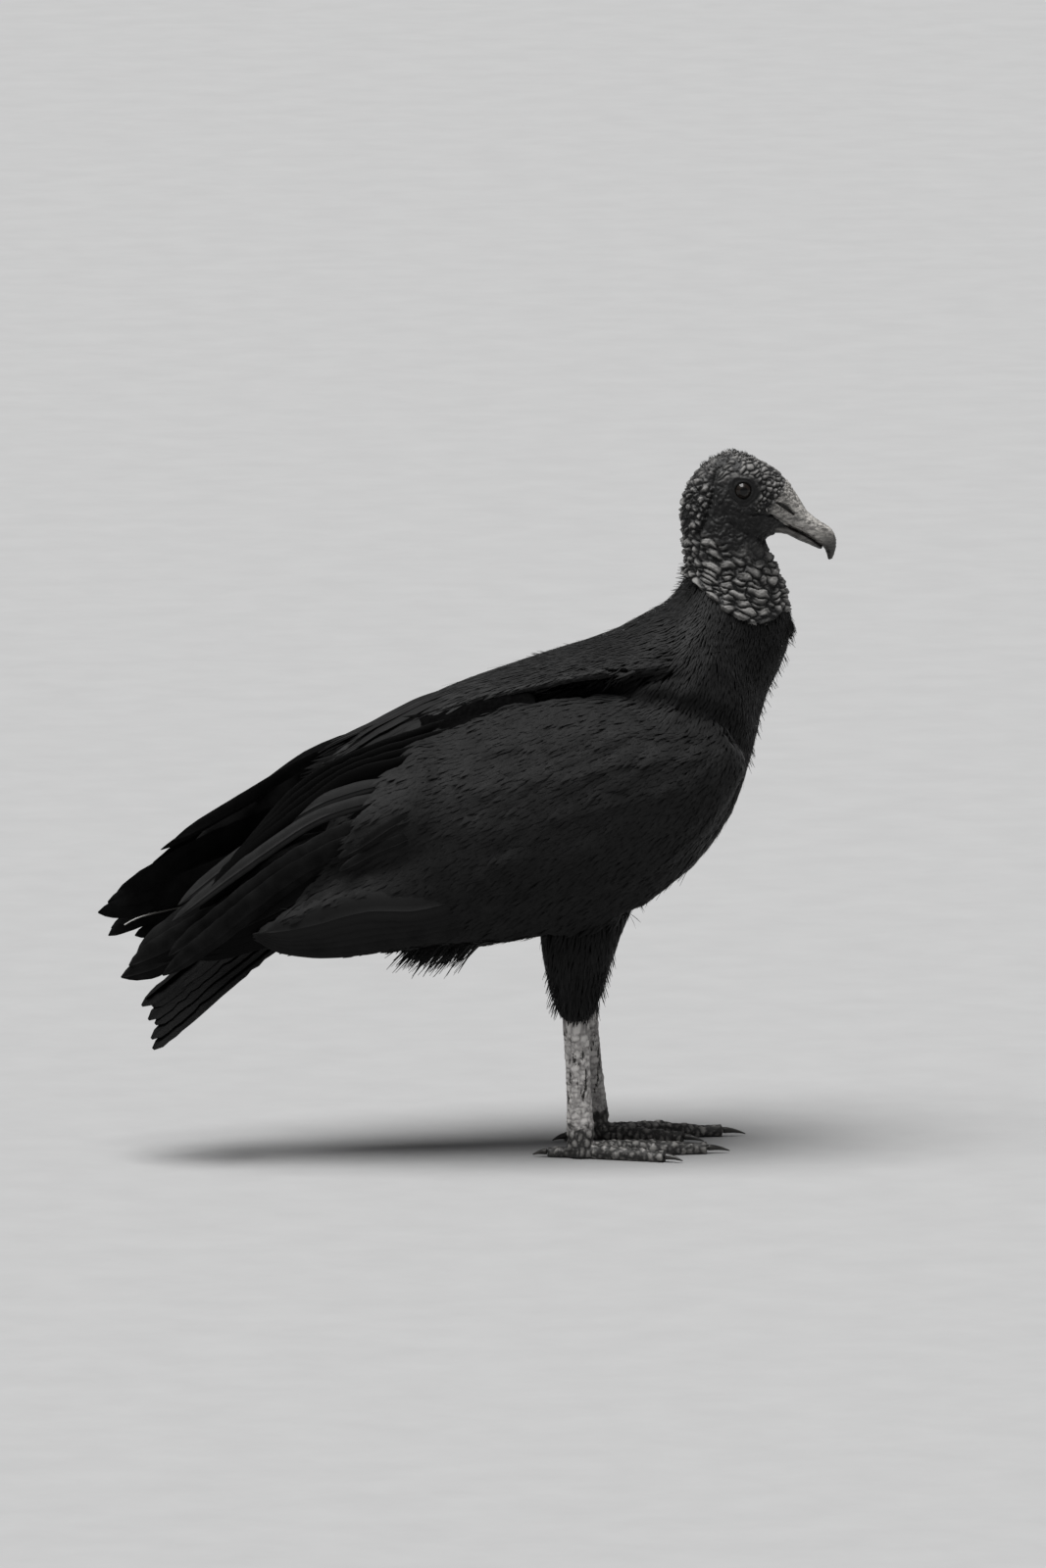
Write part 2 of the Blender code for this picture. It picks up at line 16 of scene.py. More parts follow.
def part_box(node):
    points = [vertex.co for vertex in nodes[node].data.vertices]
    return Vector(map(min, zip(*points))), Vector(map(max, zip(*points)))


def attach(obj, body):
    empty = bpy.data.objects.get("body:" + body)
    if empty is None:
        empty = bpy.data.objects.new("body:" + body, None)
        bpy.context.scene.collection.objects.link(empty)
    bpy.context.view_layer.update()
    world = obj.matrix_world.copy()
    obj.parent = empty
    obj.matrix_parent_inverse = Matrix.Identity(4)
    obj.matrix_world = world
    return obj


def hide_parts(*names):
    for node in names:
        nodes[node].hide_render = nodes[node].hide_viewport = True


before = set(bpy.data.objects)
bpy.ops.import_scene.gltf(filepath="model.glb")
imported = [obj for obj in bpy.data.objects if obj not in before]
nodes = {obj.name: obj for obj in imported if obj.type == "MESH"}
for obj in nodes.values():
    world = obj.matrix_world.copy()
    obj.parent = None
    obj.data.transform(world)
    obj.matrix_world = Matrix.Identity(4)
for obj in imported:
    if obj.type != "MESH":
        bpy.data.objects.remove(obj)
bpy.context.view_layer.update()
SIDES = (("right", -1), ("left", 1))
TOES = (1, 2, 3, 4)
rng = np.random.default_rng(11)

# ---------------------------------------------------------------- small tools


def only(*objs):
    """Selects these objects and nothing else, the last one active."""
    bpy.ops.object.select_all(action="DESELECT")
    for obj in objs:
        obj.select_set(True)
    if objs:
        bpy.context.view_layer.objects.active = objs[-1]


def apply(obj, kind, **settings):
    """Adds a modifier with its settings and applies it."""
    only(obj)
    added = obj.modifiers.new(kind.title(), kind)
    for key, value in settings.items():
        setattr(added, key, value)
    bpy.ops.object.modifier_apply(modifier=added.name)


def edit(obj, step, **settings):
    """Runs an edit-mode operator over the whole of a mesh."""
    only(obj)
    bpy.ops.object.mode_set(mode="EDIT")
    bpy.ops.mesh.select_all(action="SELECT")
    step(**settings)
    bpy.ops.object.mode_set(mode="OBJECT")


def rounded(obj):
    only(obj)
    bpy.ops.object.shade_smooth()


def copy_of(name, members):
    """One mesh made of merged copies of CAD nodes."""
    copies = []
    for member in members:
        twin = bpy.data.objects.new(name, nodes[member].data.copy())
        twin.data.materials.clear()
        bpy.context.scene.collection.objects.link(twin)
        copies.append(twin)
    only(*copies)
    if len(copies) > 1:
        bpy.ops.object.join()
    made = copies[-1]
    made.name = made.data.name = name
    edit(made, bpy.ops.mesh.remove_doubles, threshold=1e-6)
    return made


def vectors(collection, key, width=3):
    """A property of every element, one row each."""
    flat = np.empty(len(collection) * width)
    collection.foreach_get(key, flat)
    return flat.reshape(-1, width) if width > 1 else flat


def points_of(obj):
    return vectors(obj.data.vertices, "co")


def normals_of(obj):
    return vectors(obj.data.vertex_normals, "vector")


def move_to(obj, points):
    obj.data.vertices.foreach_set("co", points.ravel())
    obj.data.update()


def smoothstep(low, high, value):
    share = np.clip((value - low) / (high - low), 0, 1)
    return share * share * (3 - 2 * share)


def unit(vector):
    return vector / np.maximum(np.linalg.norm(vector, axis=-1, keepdims=True), 1e-12)


def flatten(direction, normal):
    """A direction laid into the plane across a normal."""
    return unit(direction - normal * np.sum(direction * normal, axis=-1, keepdims=True))


def store(obj, name, values):
    """A number for each point, which materials read by name."""
    layer = obj.data.attributes.get(name) or obj.data.attributes.new(name, "FLOAT", "POINT")
    layer.data.foreach_set("value", values.astype(np.float32))


def to_line(points, line):
    """Distance of points (x, z) from a line, and how far along it, 0 to 1, the nearest place is."""
    line = np.array(line, float)
    lengths = np.linalg.norm(np.diff(line, axis=0), axis=1)
    starts = np.concatenate([[0], np.cumsum(lengths)])
    best, along = np.full(len(points), 9.0), np.zeros(len(points))
    for k, (a, b) in enumerate(zip(line, line[1:])):
        share = np.clip((points - a) @ (b - a) / (lengths[k] ** 2), 0, 1)
        far = np.linalg.norm(points - (a + share[:, None] * (b - a)), axis=1)
        closer = far < best
        best[closer] = far[closer]
        along[closer] = ((starts[k] + share * lengths[k]) / starts[-1])[closer]
    return best, along


def groove(points, line, width):
    """1 along a line seen from the side, falling to 0 a width away."""
    distance, _ = to_line(points[:, [0, 2]], line)
    return np.exp(-((distance / width) ** 2))


def height_over(points, line):
    """How far points lie above a line seen from the side, straight up."""
    x, z = np.array(sorted(line)).T
    return points[:, 2] - np.interp(points[:, 0], x, z)


def along_line(line, steps):
    """Evenly spaced points on a smooth line through these."""
    line = np.array(line)
    lengths = np.concatenate([[0], np.cumsum(np.linalg.norm(np.diff(line, axis=0), axis=1))])
    even = np.linspace(0, lengths[-1], steps)
    points = np.stack([np.interp(even, lengths, axis) for axis in line.T], axis=1)
    for _ in range(4):
        points[1:-1] = (points[:-2] + 2 * points[1:-1] + points[2:]) / 4
    return points


def scramble(corners, seed):
    """Three numbers from -1 to 1 for each whole-number corner, always the same."""
    mixed = (corners * np.array([73856093, 19349663, 83492791])).sum(axis=1) + seed * 2654435761
    rolls = []
    for _ in range(3):
        mixed = (mixed ^ (mixed >> 15)) * 2246822519 & 0xFFFFFFFF
        mixed = (mixed ^ (mixed >> 13)) * 3266489917 & 0xFFFFFFFF
        rolls.append((mixed & 0xFFFF) / 32767.5 - 1)
    return np.stack(rolls, axis=1)


def pillows(points, size, seed, jitter=0.42, soft=0.5):
    """Rounded bumps that fill space, 0 in the creases between them and 1 on their tops."""
    grid = points / np.array(size)
    base = np.floor(grid).astype(np.int64)
    near, second = np.full(len(grid), 9.0), np.full(len(grid), 9.0)
    for shift in itertools.product((-1, 0, 1), repeat=3):
        corner = base + shift
        far = np.linalg.norm(grid - corner - 0.5 - np.array(jitter) * scramble(corner, seed), axis=1)
        second = np.minimum(second, np.maximum(near, far))
        near = np.minimum(near, far)
    gap = np.clip((second - near) / soft, 0, 1)
    return 1 - (1 - gap) ** 2


def bumps(points, size, seed, soft=0.95, jitter=0.42):
    """Pillows about their mean height."""
    return pillows(points, size, seed, jitter, soft) - 0.55


# ---------------------------------------------------------------- the form under the coat

FEATHERED = ["trunk", "neck_lower", "mantle"] + [
    f"{part}_{side}{rest}" for side, _ in SIDES for part, rest in (("wing", "_coverts"), ("thigh", ""))
]
PLATES = [f"wing_{side}_{part}" for side, _ in SIDES for part in ("tertials", "secondaries")]
PLATE_PARTS = ("tertials", "secondaries", "primaries")
SWELL = 0.0004  # closes the thin gaps between the solids
COAT_DEPTH = 0.0030  # the skin lies this far inside the feathered solids
BODY_GRAIN, CAPE_GRAIN, HEAD_GRAIN, LEG_GRAIN, BILL_GRAIN = 0.0025, 0.0020, 0.00064, 0.00095, 0.00055
SKIN_KEPT = (0.62, 1.0, 0.5, 0.5)  # the share of the faces that head, body and legs keep
BODY_KEPT = 0.30

# The block that closes the slot between tertials and secondaries, from its front to its rear end.
FILLING_X = (-0.034, -0.112)
FILLING_TOP = {"right": (0.240, 0.200), "left": (0.250, 0.212)}
FILLING_FOOT = (0.170, 0.162)
FILLING_INNER = (0.040, 0.030)
FILLING_OUTER_UPPER = (0.0600, 0.0505)
FILLING_OUTER_LOWER = (0.0685, 0.0505)


def shell(name, members, grain, smooth, below=None, filling=()):
    """Members melted into one closed surface of even small faces, as large as they are. below is the height
    under which they are cut off."""
    made = copy_of(name, members)
    if filling:
        only(*filling, made)
        bpy.ops.object.join()
    if below is not None:
        edit(made, bpy.ops.mesh.bisect, plane_co=(0, 0, below), plane_no=(0, 0, -1), use_fill=True,
             clear_outer=True)
    apply(made, "DISPLACE", strength=SWELL, mid_level=0)
    apply(made, "REMESH", mode="VOXEL", voxel_size=grain)
    apply(made, "SMOOTH", factor=0.5, iterations=smooth)
    return made


def wing_filling(side, sign):
    """The filling block of one wing."""
    bpy.ops.mesh.primitive_cube_add(size=1)
    made = bpy.context.object
    front, outer, upper = (points_of(made) > 0).T
    end = np.where(front, 0, 1)
    far = np.where(upper, np.take(FILLING_OUTER_UPPER, end), np.take(FILLING_OUTER_LOWER, end))
    y = np.where(outer, far, np.take(FILLING_INNER, end))
    z = np.where(upper, np.take(FILLING_TOP[side], end), np.take(FILLING_FOOT, end))
    move_to(made, np.stack([np.take(FILLING_X, end), sign * y, z], axis=1))
    edit(made, bpy.ops.mesh.normals_make_consistent, inside=False)
    return made


def unwrapped(obj):
    edit(obj, bpy.ops.uv.smart_project, angle_limit=math.radians(66), island_margin=0.004)
    return obj


class Surface:
    """A form that feathers lie along."""

    def __init__(self, obj):
        mesh = obj.data
        self.points = points_of(obj)
        self.corners = np.array([list(face.vertices)[:4] for face in mesh.polygons])
        self.tree = BVHTree.FromPolygons(self.points.tolist(), self.corners.tolist())
        self.normals = unit(normals_of(obj)[self.corners].mean(axis=1))
        self.areas = vectors(mesh.polygons, "area", 1)
        if mesh.uv_layers:
            self.places = vectors(mesh.uv_layers[0].uv, "vector", 2).reshape(-1, 4, 2).mean(axis=1)

    def nearest(self, points):
        """The nearest place on the form to each point, its normal and its face."""
        found = [self.tree.find_nearest(point) for point in points.tolist()]
        places = np.array([hit[0] for hit in found])
        faces = np.array([hit[2] for hit in found])
        return places, self.normals[faces], faces

    def hidden(self, points, normals, reach, clear=0.0015):
        """True where the form itself stands close over a point."""
        starts = points + normals * clear
        return np.array([
            self.tree.ray_cast(start, normal, reach)[0] is not None
            for start, normal in zip(starts.tolist(), normals.tolist())
        ])

    def from_side(self, x, z, out):
        """y of the form's outermost place at (x, z) on one side, or nan where there is none."""
        found = [self.tree.ray_cast((float(a), out * 0.2, float(c)), (0, -out, 0))[0] for a, c in zip(x, z)]
        return np.array([hit[1] if hit else np.nan for hit in found])


class Kinds:
    """Names the CAD node that each point lies nearest to."""

    def __init__(self, members):
        points, faces, self.owner = [], [], []
        for member in members:
            mesh = nodes[member].data
            start = sum(map(len, points))
            points.append(points_of(nodes[member]))
            faces += [[start + v for v in face.vertices] for face in mesh.polygons]
            self.owner += [member] * len(mesh.polygons)
        self.tree = BVHTree.FromPolygons(np.concatenate(points).tolist(), faces)
        self.owner = np.array(self.owner)

    def of(self, points):
        return self.owner[[self.tree.find_nearest(point)[2] for point in points.tolist()]]


def plate_surface(members):
    """The solids of these nodes, for long feathers to lie on."""
    shape = copy_of("plate", members)
    apply(shape, "TRIANGULATE")
    made = Surface(shape)
    bpy.data.objects.remove(shape)
    return made


# Edges of the layers of feathers, seen from the side. The tertials' front edge lies over the coverts.
TERTIAL_EDGE = [
    (-0.0150, 0.2700), (-0.0300, 0.2480), (-0.0345, 0.2395), (-0.0437, 0.2358), (-0.0482, 0.2248),
    (-0.0573, 0.2138), (-0.0686, 0.2051), (-0.0800, 0.1977), (-0.0982, 0.1914), (-0.1189, 0.1779),
    (-0.1373, 0.1633), (-0.1699, 0.1392), (-0.1978, 0.1212),
]
LOBE_EDGE = [  # the upper edge of the lobe of secondaries
    (-0.1500, 0.1440), (-0.1420, 0.1489), (-0.1304, 0.1586), (-0.1097, 0.1672), (-0.0868, 0.1760),
    (-0.0708, 0.1787), (-0.0482, 0.1769), (-0.0230, 0.1821), (0.0001, 0.1894), (0.0212, 0.2062),
    (0.0400, 0.2200),
]
MANTLE_EDGE = [
    (-0.0800, 0.2560), (-0.0480, 0.2730), (-0.0100, 0.2910), (0.0300, 0.3030), (0.0750, 0.3066),
    (0.0950, 0.3095), (0.1200, 0.3100),
]
WRIST_EDGE = [
    (0.0645, 0.3025), (0.0900, 0.2980), (0.1270, 0.2910), (0.1530, 0.2820), (0.1620, 0.2730),
    (0.1680, 0.2600), (0.1665, 0.2410), (0.1560, 0.2160), (0.1430, 0.2010), (0.1270, 0.1860),
    (0.0990, 0.1680), (0.0645, 0.1530),
]
SWEEP = math.radians(33)  # how steeply the wing coverts run down to the rear
LEFT_SHIFT = (0.0135, 0.0090)  # how much further forward and up the left tertials lie


def ease(obj, name, chosen, iterations):
    """Smooths the chosen points of a mesh."""
    group = obj.vertex_groups.new(name=name)
    group.add(np.flatnonzero(chosen).tolist(), 1.0, "REPLACE")
    apply(obj, "SMOOTH", factor=0.5, iterations=iterations, vertex_group=name)
    obj.vertex_groups.clear()


def shape_form(obj):
    """The steps and faint lumps that the layers of feathers make under the coat."""
    points, out = points_of(obj), normals_of(obj)
    kinds = kind_at.of(points)
    x, y, z = points.T
    cos, sin = math.cos(SWEEP), math.sin(SWEEP)
    swept = np.stack([x * cos + z * sin, y, z * cos - x * sin], axis=1)
    wing = np.char.startswith(kinds, "wing")
    side = smoothstep(0.008, 0.016, abs(y)) * smoothstep(0.2, 0.5, abs(out[:, 1]))
    push = np.where(wing, 0.0016 * (pillows(swept, (0.024, 0.032, 0.013), 41, soft=0.95) - 0.6),
                    0.0008 * (pillows(points, (0.020, 0.020, 0.020), 43, soft=0.9) - 0.6))
    rim, along = to_line(points[:, [0, 2]], LOBE_EDGE)
    scallop = 0.0022 * abs(np.sin(along * 9 * math.pi))
    over = height_over(points, LOBE_EDGE)
    lobe = smoothstep(0.0005, -0.0030, over - scallop) * smoothstep(0.045, 0.005, x)
    band = smoothstep(-0.0010, 0.0022, height_over(points, TERTIAL_EDGE)) * smoothstep(-0.010, -0.040, x)
    band = band * smoothstep(-0.110, -0.060, x)
    push = push + wing * side * (0.0026 * lobe * smoothstep(0.022, 0.002, rim) + 0.0020 * band)
    # the coverts rise to meet the front edge of the tertials
    ahead, tall = x - LEFT_SHIFT[0] * (y > 0), z - LEFT_SHIFT[1] * (y > 0)
    rise = smoothstep(-0.008, -0.039, ahead) * smoothstep(-0.0450, -0.0425, ahead)
    push = push + 0.0062 * wing * side * rise * smoothstep(0.210, 0.230, tall) * smoothstep(
        0.272, 0.256, tall)
    for line, depth, width, where in (
        (MANTLE_EDGE, 0.0065, 0.0065, side * smoothstep(0.112, 0.080, x)),
        (WRIST_EDGE, 0.0042, 0.0050, side * ~wing),
        (TERTIAL_EDGE, 0.0012, 0.0022, side * wing * (1 - band)),
    ):
        push = push - depth * groove(points, line, width) * where
    move_to(obj, points + out * push[:, None])
    apply(obj, "SMOOTH", factor=0.5, iterations=1)
    # the step from the coverts down to the long feathers is eased most
    ease(obj, "seam", wing & (x < -0.006) & (x > -0.075), 36)
    ease(obj, "shoulder", wing & (x >= -0.030) & (over > 0.004), 3)


# ---------------------------------------------------------------- feathers

# Sections of a vane, from the left edge over the top: (across, above), in half widths and thicknesses.
VANE = [(1, 0), (0, 1), (-1, 0)]
QUILL = [
    (1, 0), (0.55, 0.7), (0.09, 0.7), (0, 2.0), (-0.09, 0.7), (-0.55, 0.7), (-1, 0), (-0.5, -0.7),
    (0.5, -0.7),
]
PLATE_QUILL = [
    (1, 0), (0.96, 0.5), (0.66, 0.75), (0.36, 0.8), (0.31, 1.35), (0.26, 0.8), (-0.1, 0.8), (-0.5, 0.75),
    (-0.95, 0.5), (-1, 0), (-0.95, -0.5), (-0.1, -0.6), (0.96, -0.5),
]
PATCH = 0.003  # the side of a feather's patch on the bake map
PATCH_MARGIN = 0.002


def build_feathers(name, line, up, half, patch, profile, thick, bow=0.16, tint=None, strip=False):
    """A joined mesh of closed vanes along lines (n, steps, 3), with normals to match, and half widths
    (n, steps). patch is each feather's own place on the bake map. A strip takes up the map's whole height."""
    count, steps, _ = line.shape
    ring = len(profile)
    across, above = np.array(profile, float).T
    left = unit(np.cross(up, np.gradient(line, axis=1)))
    thin = thick * (1 - 0.5 * np.linspace(0, 1, steps))
    rise = thin[None, :, None] * above - half[:, :, None] * bow * across**2
    points = (
        line[:, :, None] + left[:, :, None] * (half[:, :, None] * across)[..., None]
        + up[:, :, None] * rise[..., None]
    )
    corners = np.arange(count * steps * ring).reshape(count, steps, ring)
    onward = np.roll(corners, -1, axis=2)
    quads = np.stack([corners[:, :-1], onward[:, :-1], onward[:, 1:], corners[:, 1:]], axis=-1)
    caps = np.concatenate([corners[:, -1], corners[:, 0, ::-1]])
    loops = np.concatenate([quads.ravel(), caps.ravel()])
    starts = np.concatenate([np.arange(0, quads.size, 4), quads.size + np.arange(0, caps.size, ring)])
    mesh = bpy.data.meshes.new(name)
    mesh.vertices.add(points.size // 3)
    mesh.vertices.foreach_set("co", points.ravel())
    mesh.loops.add(len(loops))
    mesh.loops.foreach_set("vertex_index", loops.astype(np.int32))
    mesh.polygons.add(len(starts))
    mesh.polygons.foreach_set("loop_start", starts.astype(np.int32))
    mesh.update(calc_edges=True)
    vane = np.empty((count, steps, ring, 2))
    vane[..., 0] = across / 2 + 0.5
    vane[..., 1] = np.linspace(0, 1, steps)[:, None]
    vane = vane.reshape(-1, 2)
    size = np.array([0.9 / count, 0.98]) if strip else PATCH
    place = np.repeat(patch, steps * ring, axis=0) + (vane - 0.5) * size
    for layer, values in (("Vane", vane), ("OFBake", place)):
        mesh.uv_layers.new(name=layer).uv.foreach_set("vector", values[loops].ravel())
    made = bpy.data.objects.new(name, mesh)
    bpy.context.scene.collection.objects.link(made)
    store(made, "tint", np.repeat(rng.random(count) if tint is None else tint, steps * ring))
    only(made)
    bpy.ops.object.shade_smooth_by_angle(angle=math.radians(50))
    return made


def patches_of(surface, faces):
    """Places on the bake map for feathers that grow on these faces."""
    return PATCH_MARGIN + (1 - 2 * PATCH_MARGIN) * surface.places[faces]


def follow(surface, roots, aims, lengths, steps):
    """Lines of even steps that leave the roots along their aims and lie on the surface, with normals. A
    line that comes to an edge runs straight on past it."""
    places, ups, _ = surface.nearest(roots)
    ahead = flatten(aims, ups)
    line, normals = [places], [ups]
    step = (lengths / (steps - 1))[:, None]
    for _ in range(steps - 1):
        guess = line[-1] + ahead * step
        place, up, _ = surface.nearest(guess)
        off = (np.linalg.norm(place - guess, axis=1, keepdims=True) > 0.45 * step) | (
            np.sum(up * normals[-1], axis=1, keepdims=True) < 0.5)
        place = np.where(off, guess, place)
        up = unit(np.where(off, normals[-1], 0.5 * normals[-1] + 0.5 * up))
        ahead = flatten(unit(place - line[-1]), up)
        line.append(place)
        normals.append(up)
    return np.stack(line, axis=1), np.stack(normals, axis=1)


def scatter(surface, spacing, seed, crowd=5):
    """Roots spread evenly over the surface, and their faces. spacing(points, normals) gives their distance
    apart, or nan for none."""
    draw = np.random.default_rng(seed)
    middles = surface.points[surface.corners].mean(axis=1)
    wanted = spacing(middles, surface.normals)
    shares = np.where(np.isnan(wanted), 0, surface.areas / np.nan_to_num(wanted, nan=1.0) ** 2)
    count = int(crowd * shares.sum())
    faces = draw.choice(len(shares), size=count, p=shares / shares.sum())
    a, b = draw.random((2, count, 1))
    c = surface.points[surface.corners[faces]]
    points = (c[:, 0] * (1 - a) + c[:, 1] * a) * (1 - b) + (c[:, 3] * (1 - a) + c[:, 2] * a) * b
    reach = wanted[faces]
    tree = KDTree(count)
    for index, point in enumerate(points.tolist()):
        tree.insert(point, index)
    tree.balance()
    alive = np.ones(count, bool)
    kept = []
    for index, point in enumerate(points.tolist()):
        if alive[index]:
            for _, other, _ in tree.find_range(point, reach[index]):
                alive[other] = False
            kept.append(index)
    return points[kept], faces[kept]


# ---------------------------------------------------------------- where each kind of feather grows

# The middle of the bird seen from the side, from face to tail: feathers on neck, breast and belly follow it.
FLOW_LINE = [
    (0.1653, 0.4015), (0.1662, 0.3878), (0.1703, 0.3768), (0.1737, 0.3630), (0.1732, 0.3448),
    (0.1653, 0.3247), (0.1598, 0.3050), (0.1470, 0.2787), (0.1242, 0.2540), (0.0978, 0.2380),
    (0.0650, 0.2233), (0.0200, 0.2117), (-0.0340, 0.1935), (-0.0720, 0.1810), (-0.0950, 0.1730),
]
BARE_EDGE = [  # the lower edge of the bare skin of the neck
    (0.1330, 0.3690), (0.1410, 0.3640), (0.1480, 0.3578), (0.1545, 0.3508), (0.1630, 0.3445),
    (0.1740, 0.3392), (0.1830, 0.3374), (0.1920, 0.3384), (0.1980, 0.3428), (0.2070, 0.3428),
]
# How far back the small soft feathers reach over the long ones: heights, then x.
VELVET_END = (
    [0.130, 0.155, 0.172, 0.186, 0.196, 0.213, 0.2265, 0.240, 0.2525, 0.265, 0.280, 0.290],
    [-0.128, -0.134, -0.112, -0.100, -0.085, -0.078, -0.072, -0.062, -0.054, -0.036, -0.004, 0.030],
)
MANTLE_TONE_AND_SHEEN = ([-0.080, -0.030, 0.030, 0.085], [1.25, 0.32, 0.14, 0.00])  # x, then how pale feathers are; paler to the rear as a painted sheen
CAPE_FRONT = 0.090  # ahead of this the mantle runs smoothly into the neck
COAT_STEPS = 4
COAT_LIFT = 0.00012  # how far the tips stand off
COAT_THICK = 0.00011
VANE_AT, VANE_WIDTH = [0.0, 0.25, 0.5, 0.75, 1.0], [0.4, 0.9, 1.0, 0.75, 0.06]


def above_edge(points):
    """Height above the lower edge of the bare neck, negative among the feathers."""
    return height_over(points, BARE_EDGE)


def flow(points, kinds):
    """The lie of the feathers at each point."""
    x, y, z = points.T
    line = np.array(FLOW_LINE)
    _, along = to_line(points[:, [0, 2]], FLOW_LINE)
    lengths = np.linalg.norm(np.diff(line, axis=0), axis=1)
    middles = (np.cumsum(lengths) - lengths / 2) / lengths.sum()
    slope_x, slope_z = (np.diff(line, axis=0) / lengths[:, None]).T
    body = np.stack([np.interp(along, middles, slope_x), 0 * x, np.interp(along, middles, slope_z)], 1)
    steep = SWEEP + 0.45 * smoothstep(0.120, 0.166, x)
    wing = np.stack([-np.cos(steep), 0 * x, -np.sin(steep)], 1)
    back = np.stack([0 * x - 1, 0.16 * np.sign(y) * smoothstep(0.0, 0.04, abs(y)), 0 * x - 0.42], 1)
    leg = np.stack([0 * x - 0.15, 0 * x, 0 * x - 1], 1)
    behind = (smoothstep(0.150, 0.110, x) * smoothstep(0.300, 0.325, z))[:, None]
    lie = body * (1 - behind) + back * behind
    for kind, way in (("wing", wing), ("mantle", back), ("thigh", leg)):
        chosen = np.char.startswith(kinds, kind)
        lie[chosen] = way[chosen]
    return unit(lie)


def coat_sizes(points, kinds):
    """Length, half width and spacing of the feathers at each point."""
    x, z = points[:, 0], points[:, 2]
    below = smoothstep(0.0, 0.10, -above_edge(points))
    sizes = np.stack([0.0080 + 0.0060 * below, 0.00065 + 0.00035 * below, 0.00125 + 0.00050 * below], axis=1)
    rear = smoothstep(0.060, -0.050, x)
    wing_length = 0.013 + 0.003 * smoothstep(0.165, 0.080, x) + 0.002 * rear
    leg_length = 0.0085 + 0.004 * smoothstep(0.095, 0.150, z)
    for kind, given in (
        ("wing", (wing_length, 0.00165 + 0.0002 * rear, 0.00185 + 0.0001 * rear)),
        ("mantle", (0.012 + 0.020 * rear, 0.00090 + 0.0005 * rear, 0.0018 + 0.0002 * rear)),
        ("thigh", (leg_length, 0.00070, 0.0016)),
    ):
        chosen = np.char.startswith(kinds, kind)
        sizes[chosen] = np.stack([value + 0 * x for value in given], axis=1)[chosen]
    return sizes.T


def coat_tint(points, kinds, on_cape):
    """How pale each feather of the coat is, from 0 to 1 between the finish's two blacks, with a painted sheen
    at the mantle's rear and a painted shadow under its edge.
    """
    x, _, z = points.T
    if on_cape:
        return np.interp(x, *MANTLE_TONE_AND_SHEEN) + rng.uniform(-0.14, 0.14, len(points))
    wing = np.char.startswith(kinds, "wing")
    # painted shadow: the wing's feathers darken just below the mantle's lower edge
    shade = 1.1 * groove(points + [0.0, 0.0, 0.007], MANTLE_EDGE, 0.0150)
    flank = 0.45 * smoothstep(0.190, 0.205, z) * smoothstep(0.262, 0.238, z) * smoothstep(0.155, 0.125, x)
    top = 0.50 * smoothstep(0.250, 0.275, z)
    breast = 0.35 * smoothstep(0.300, 0.270, z) * smoothstep(0.130, 0.160, x)
    return rng.uniform(0.25, 0.75, len(points)) + np.where(wing, flank - top - shade, -breast)


def kinds_at(surface, points):
    """The node at each point, with the neck as one and the mantle's front apart."""
    if surface is cape_ground:
        return np.full(len(points), "mantle")
    kinds = kind_at.of(points)
    kinds[(kinds == "mantle") & (points[:, 0] > CAPE_FRONT - 0.030)] = "mantle_front"
    kinds[kinds == "neck_upper"] = "neck_lower"
    return kinds


def coat_spacing(surface, points, normals, chosen, half_body):
    """How far apart feathers grow at each point, nan where none of the chosen kinds does."""
    kinds = kinds_at(surface, points)
    space = coat_sizes(points, kinds)[2]
    bare = above_edge(points) > 0.0025
    plate = np.char.endswith(kinds, "tertials") | np.char.endswith(kinds, "secondaries")
    past_velvet = (points[:, 0] < np.interp(points[:, 2], *VELVET_END)) | (abs(normals[:, 1]) < 0.2)
    taken = ~np.isin(kinds, chosen) | (bare & (kinds == "neck_lower")) | (plate & past_velvet)
    taken |= points[:, 1] * half_body < 0
    if surface is cape_ground:
        taken |= points[:, 0] > CAPE_FRONT + 0.010
    space[taken] = np.nan
    return space


def in_open_air(surface, roots, normals):
    """True for roots that nothing lies over, neither the form nor the mantle."""
    free = ~ground.hidden(roots, normals, 0.010)
    if surface is cape_ground:
        return free
    apart = np.linalg.norm(cape_ground.nearest(roots)[0] - roots, axis=1) > 0.0012
    apart |= (kinds_at(surface, roots) != "mantle_front") | (roots[:, 0] > CAPE_FRONT)
    return free & apart & ~cape_ground.hidden(roots, normals, 0.022)


def coat_heights(count):
    """How high each step of each feather lies over the form, from the root in the skin to the tip."""
    share = np.linspace(0, 1, COAT_STEPS)
    deep = -COAT_DEPTH * 0.85 * (1 - share) ** 3.2 + COAT_LIFT * share
    stray = (rng.random(count) ** 30)[:, None] * 0.0018 * share**2
    return deep[None] + rng.normal(0, 0.00004, count)[:, None] + stray


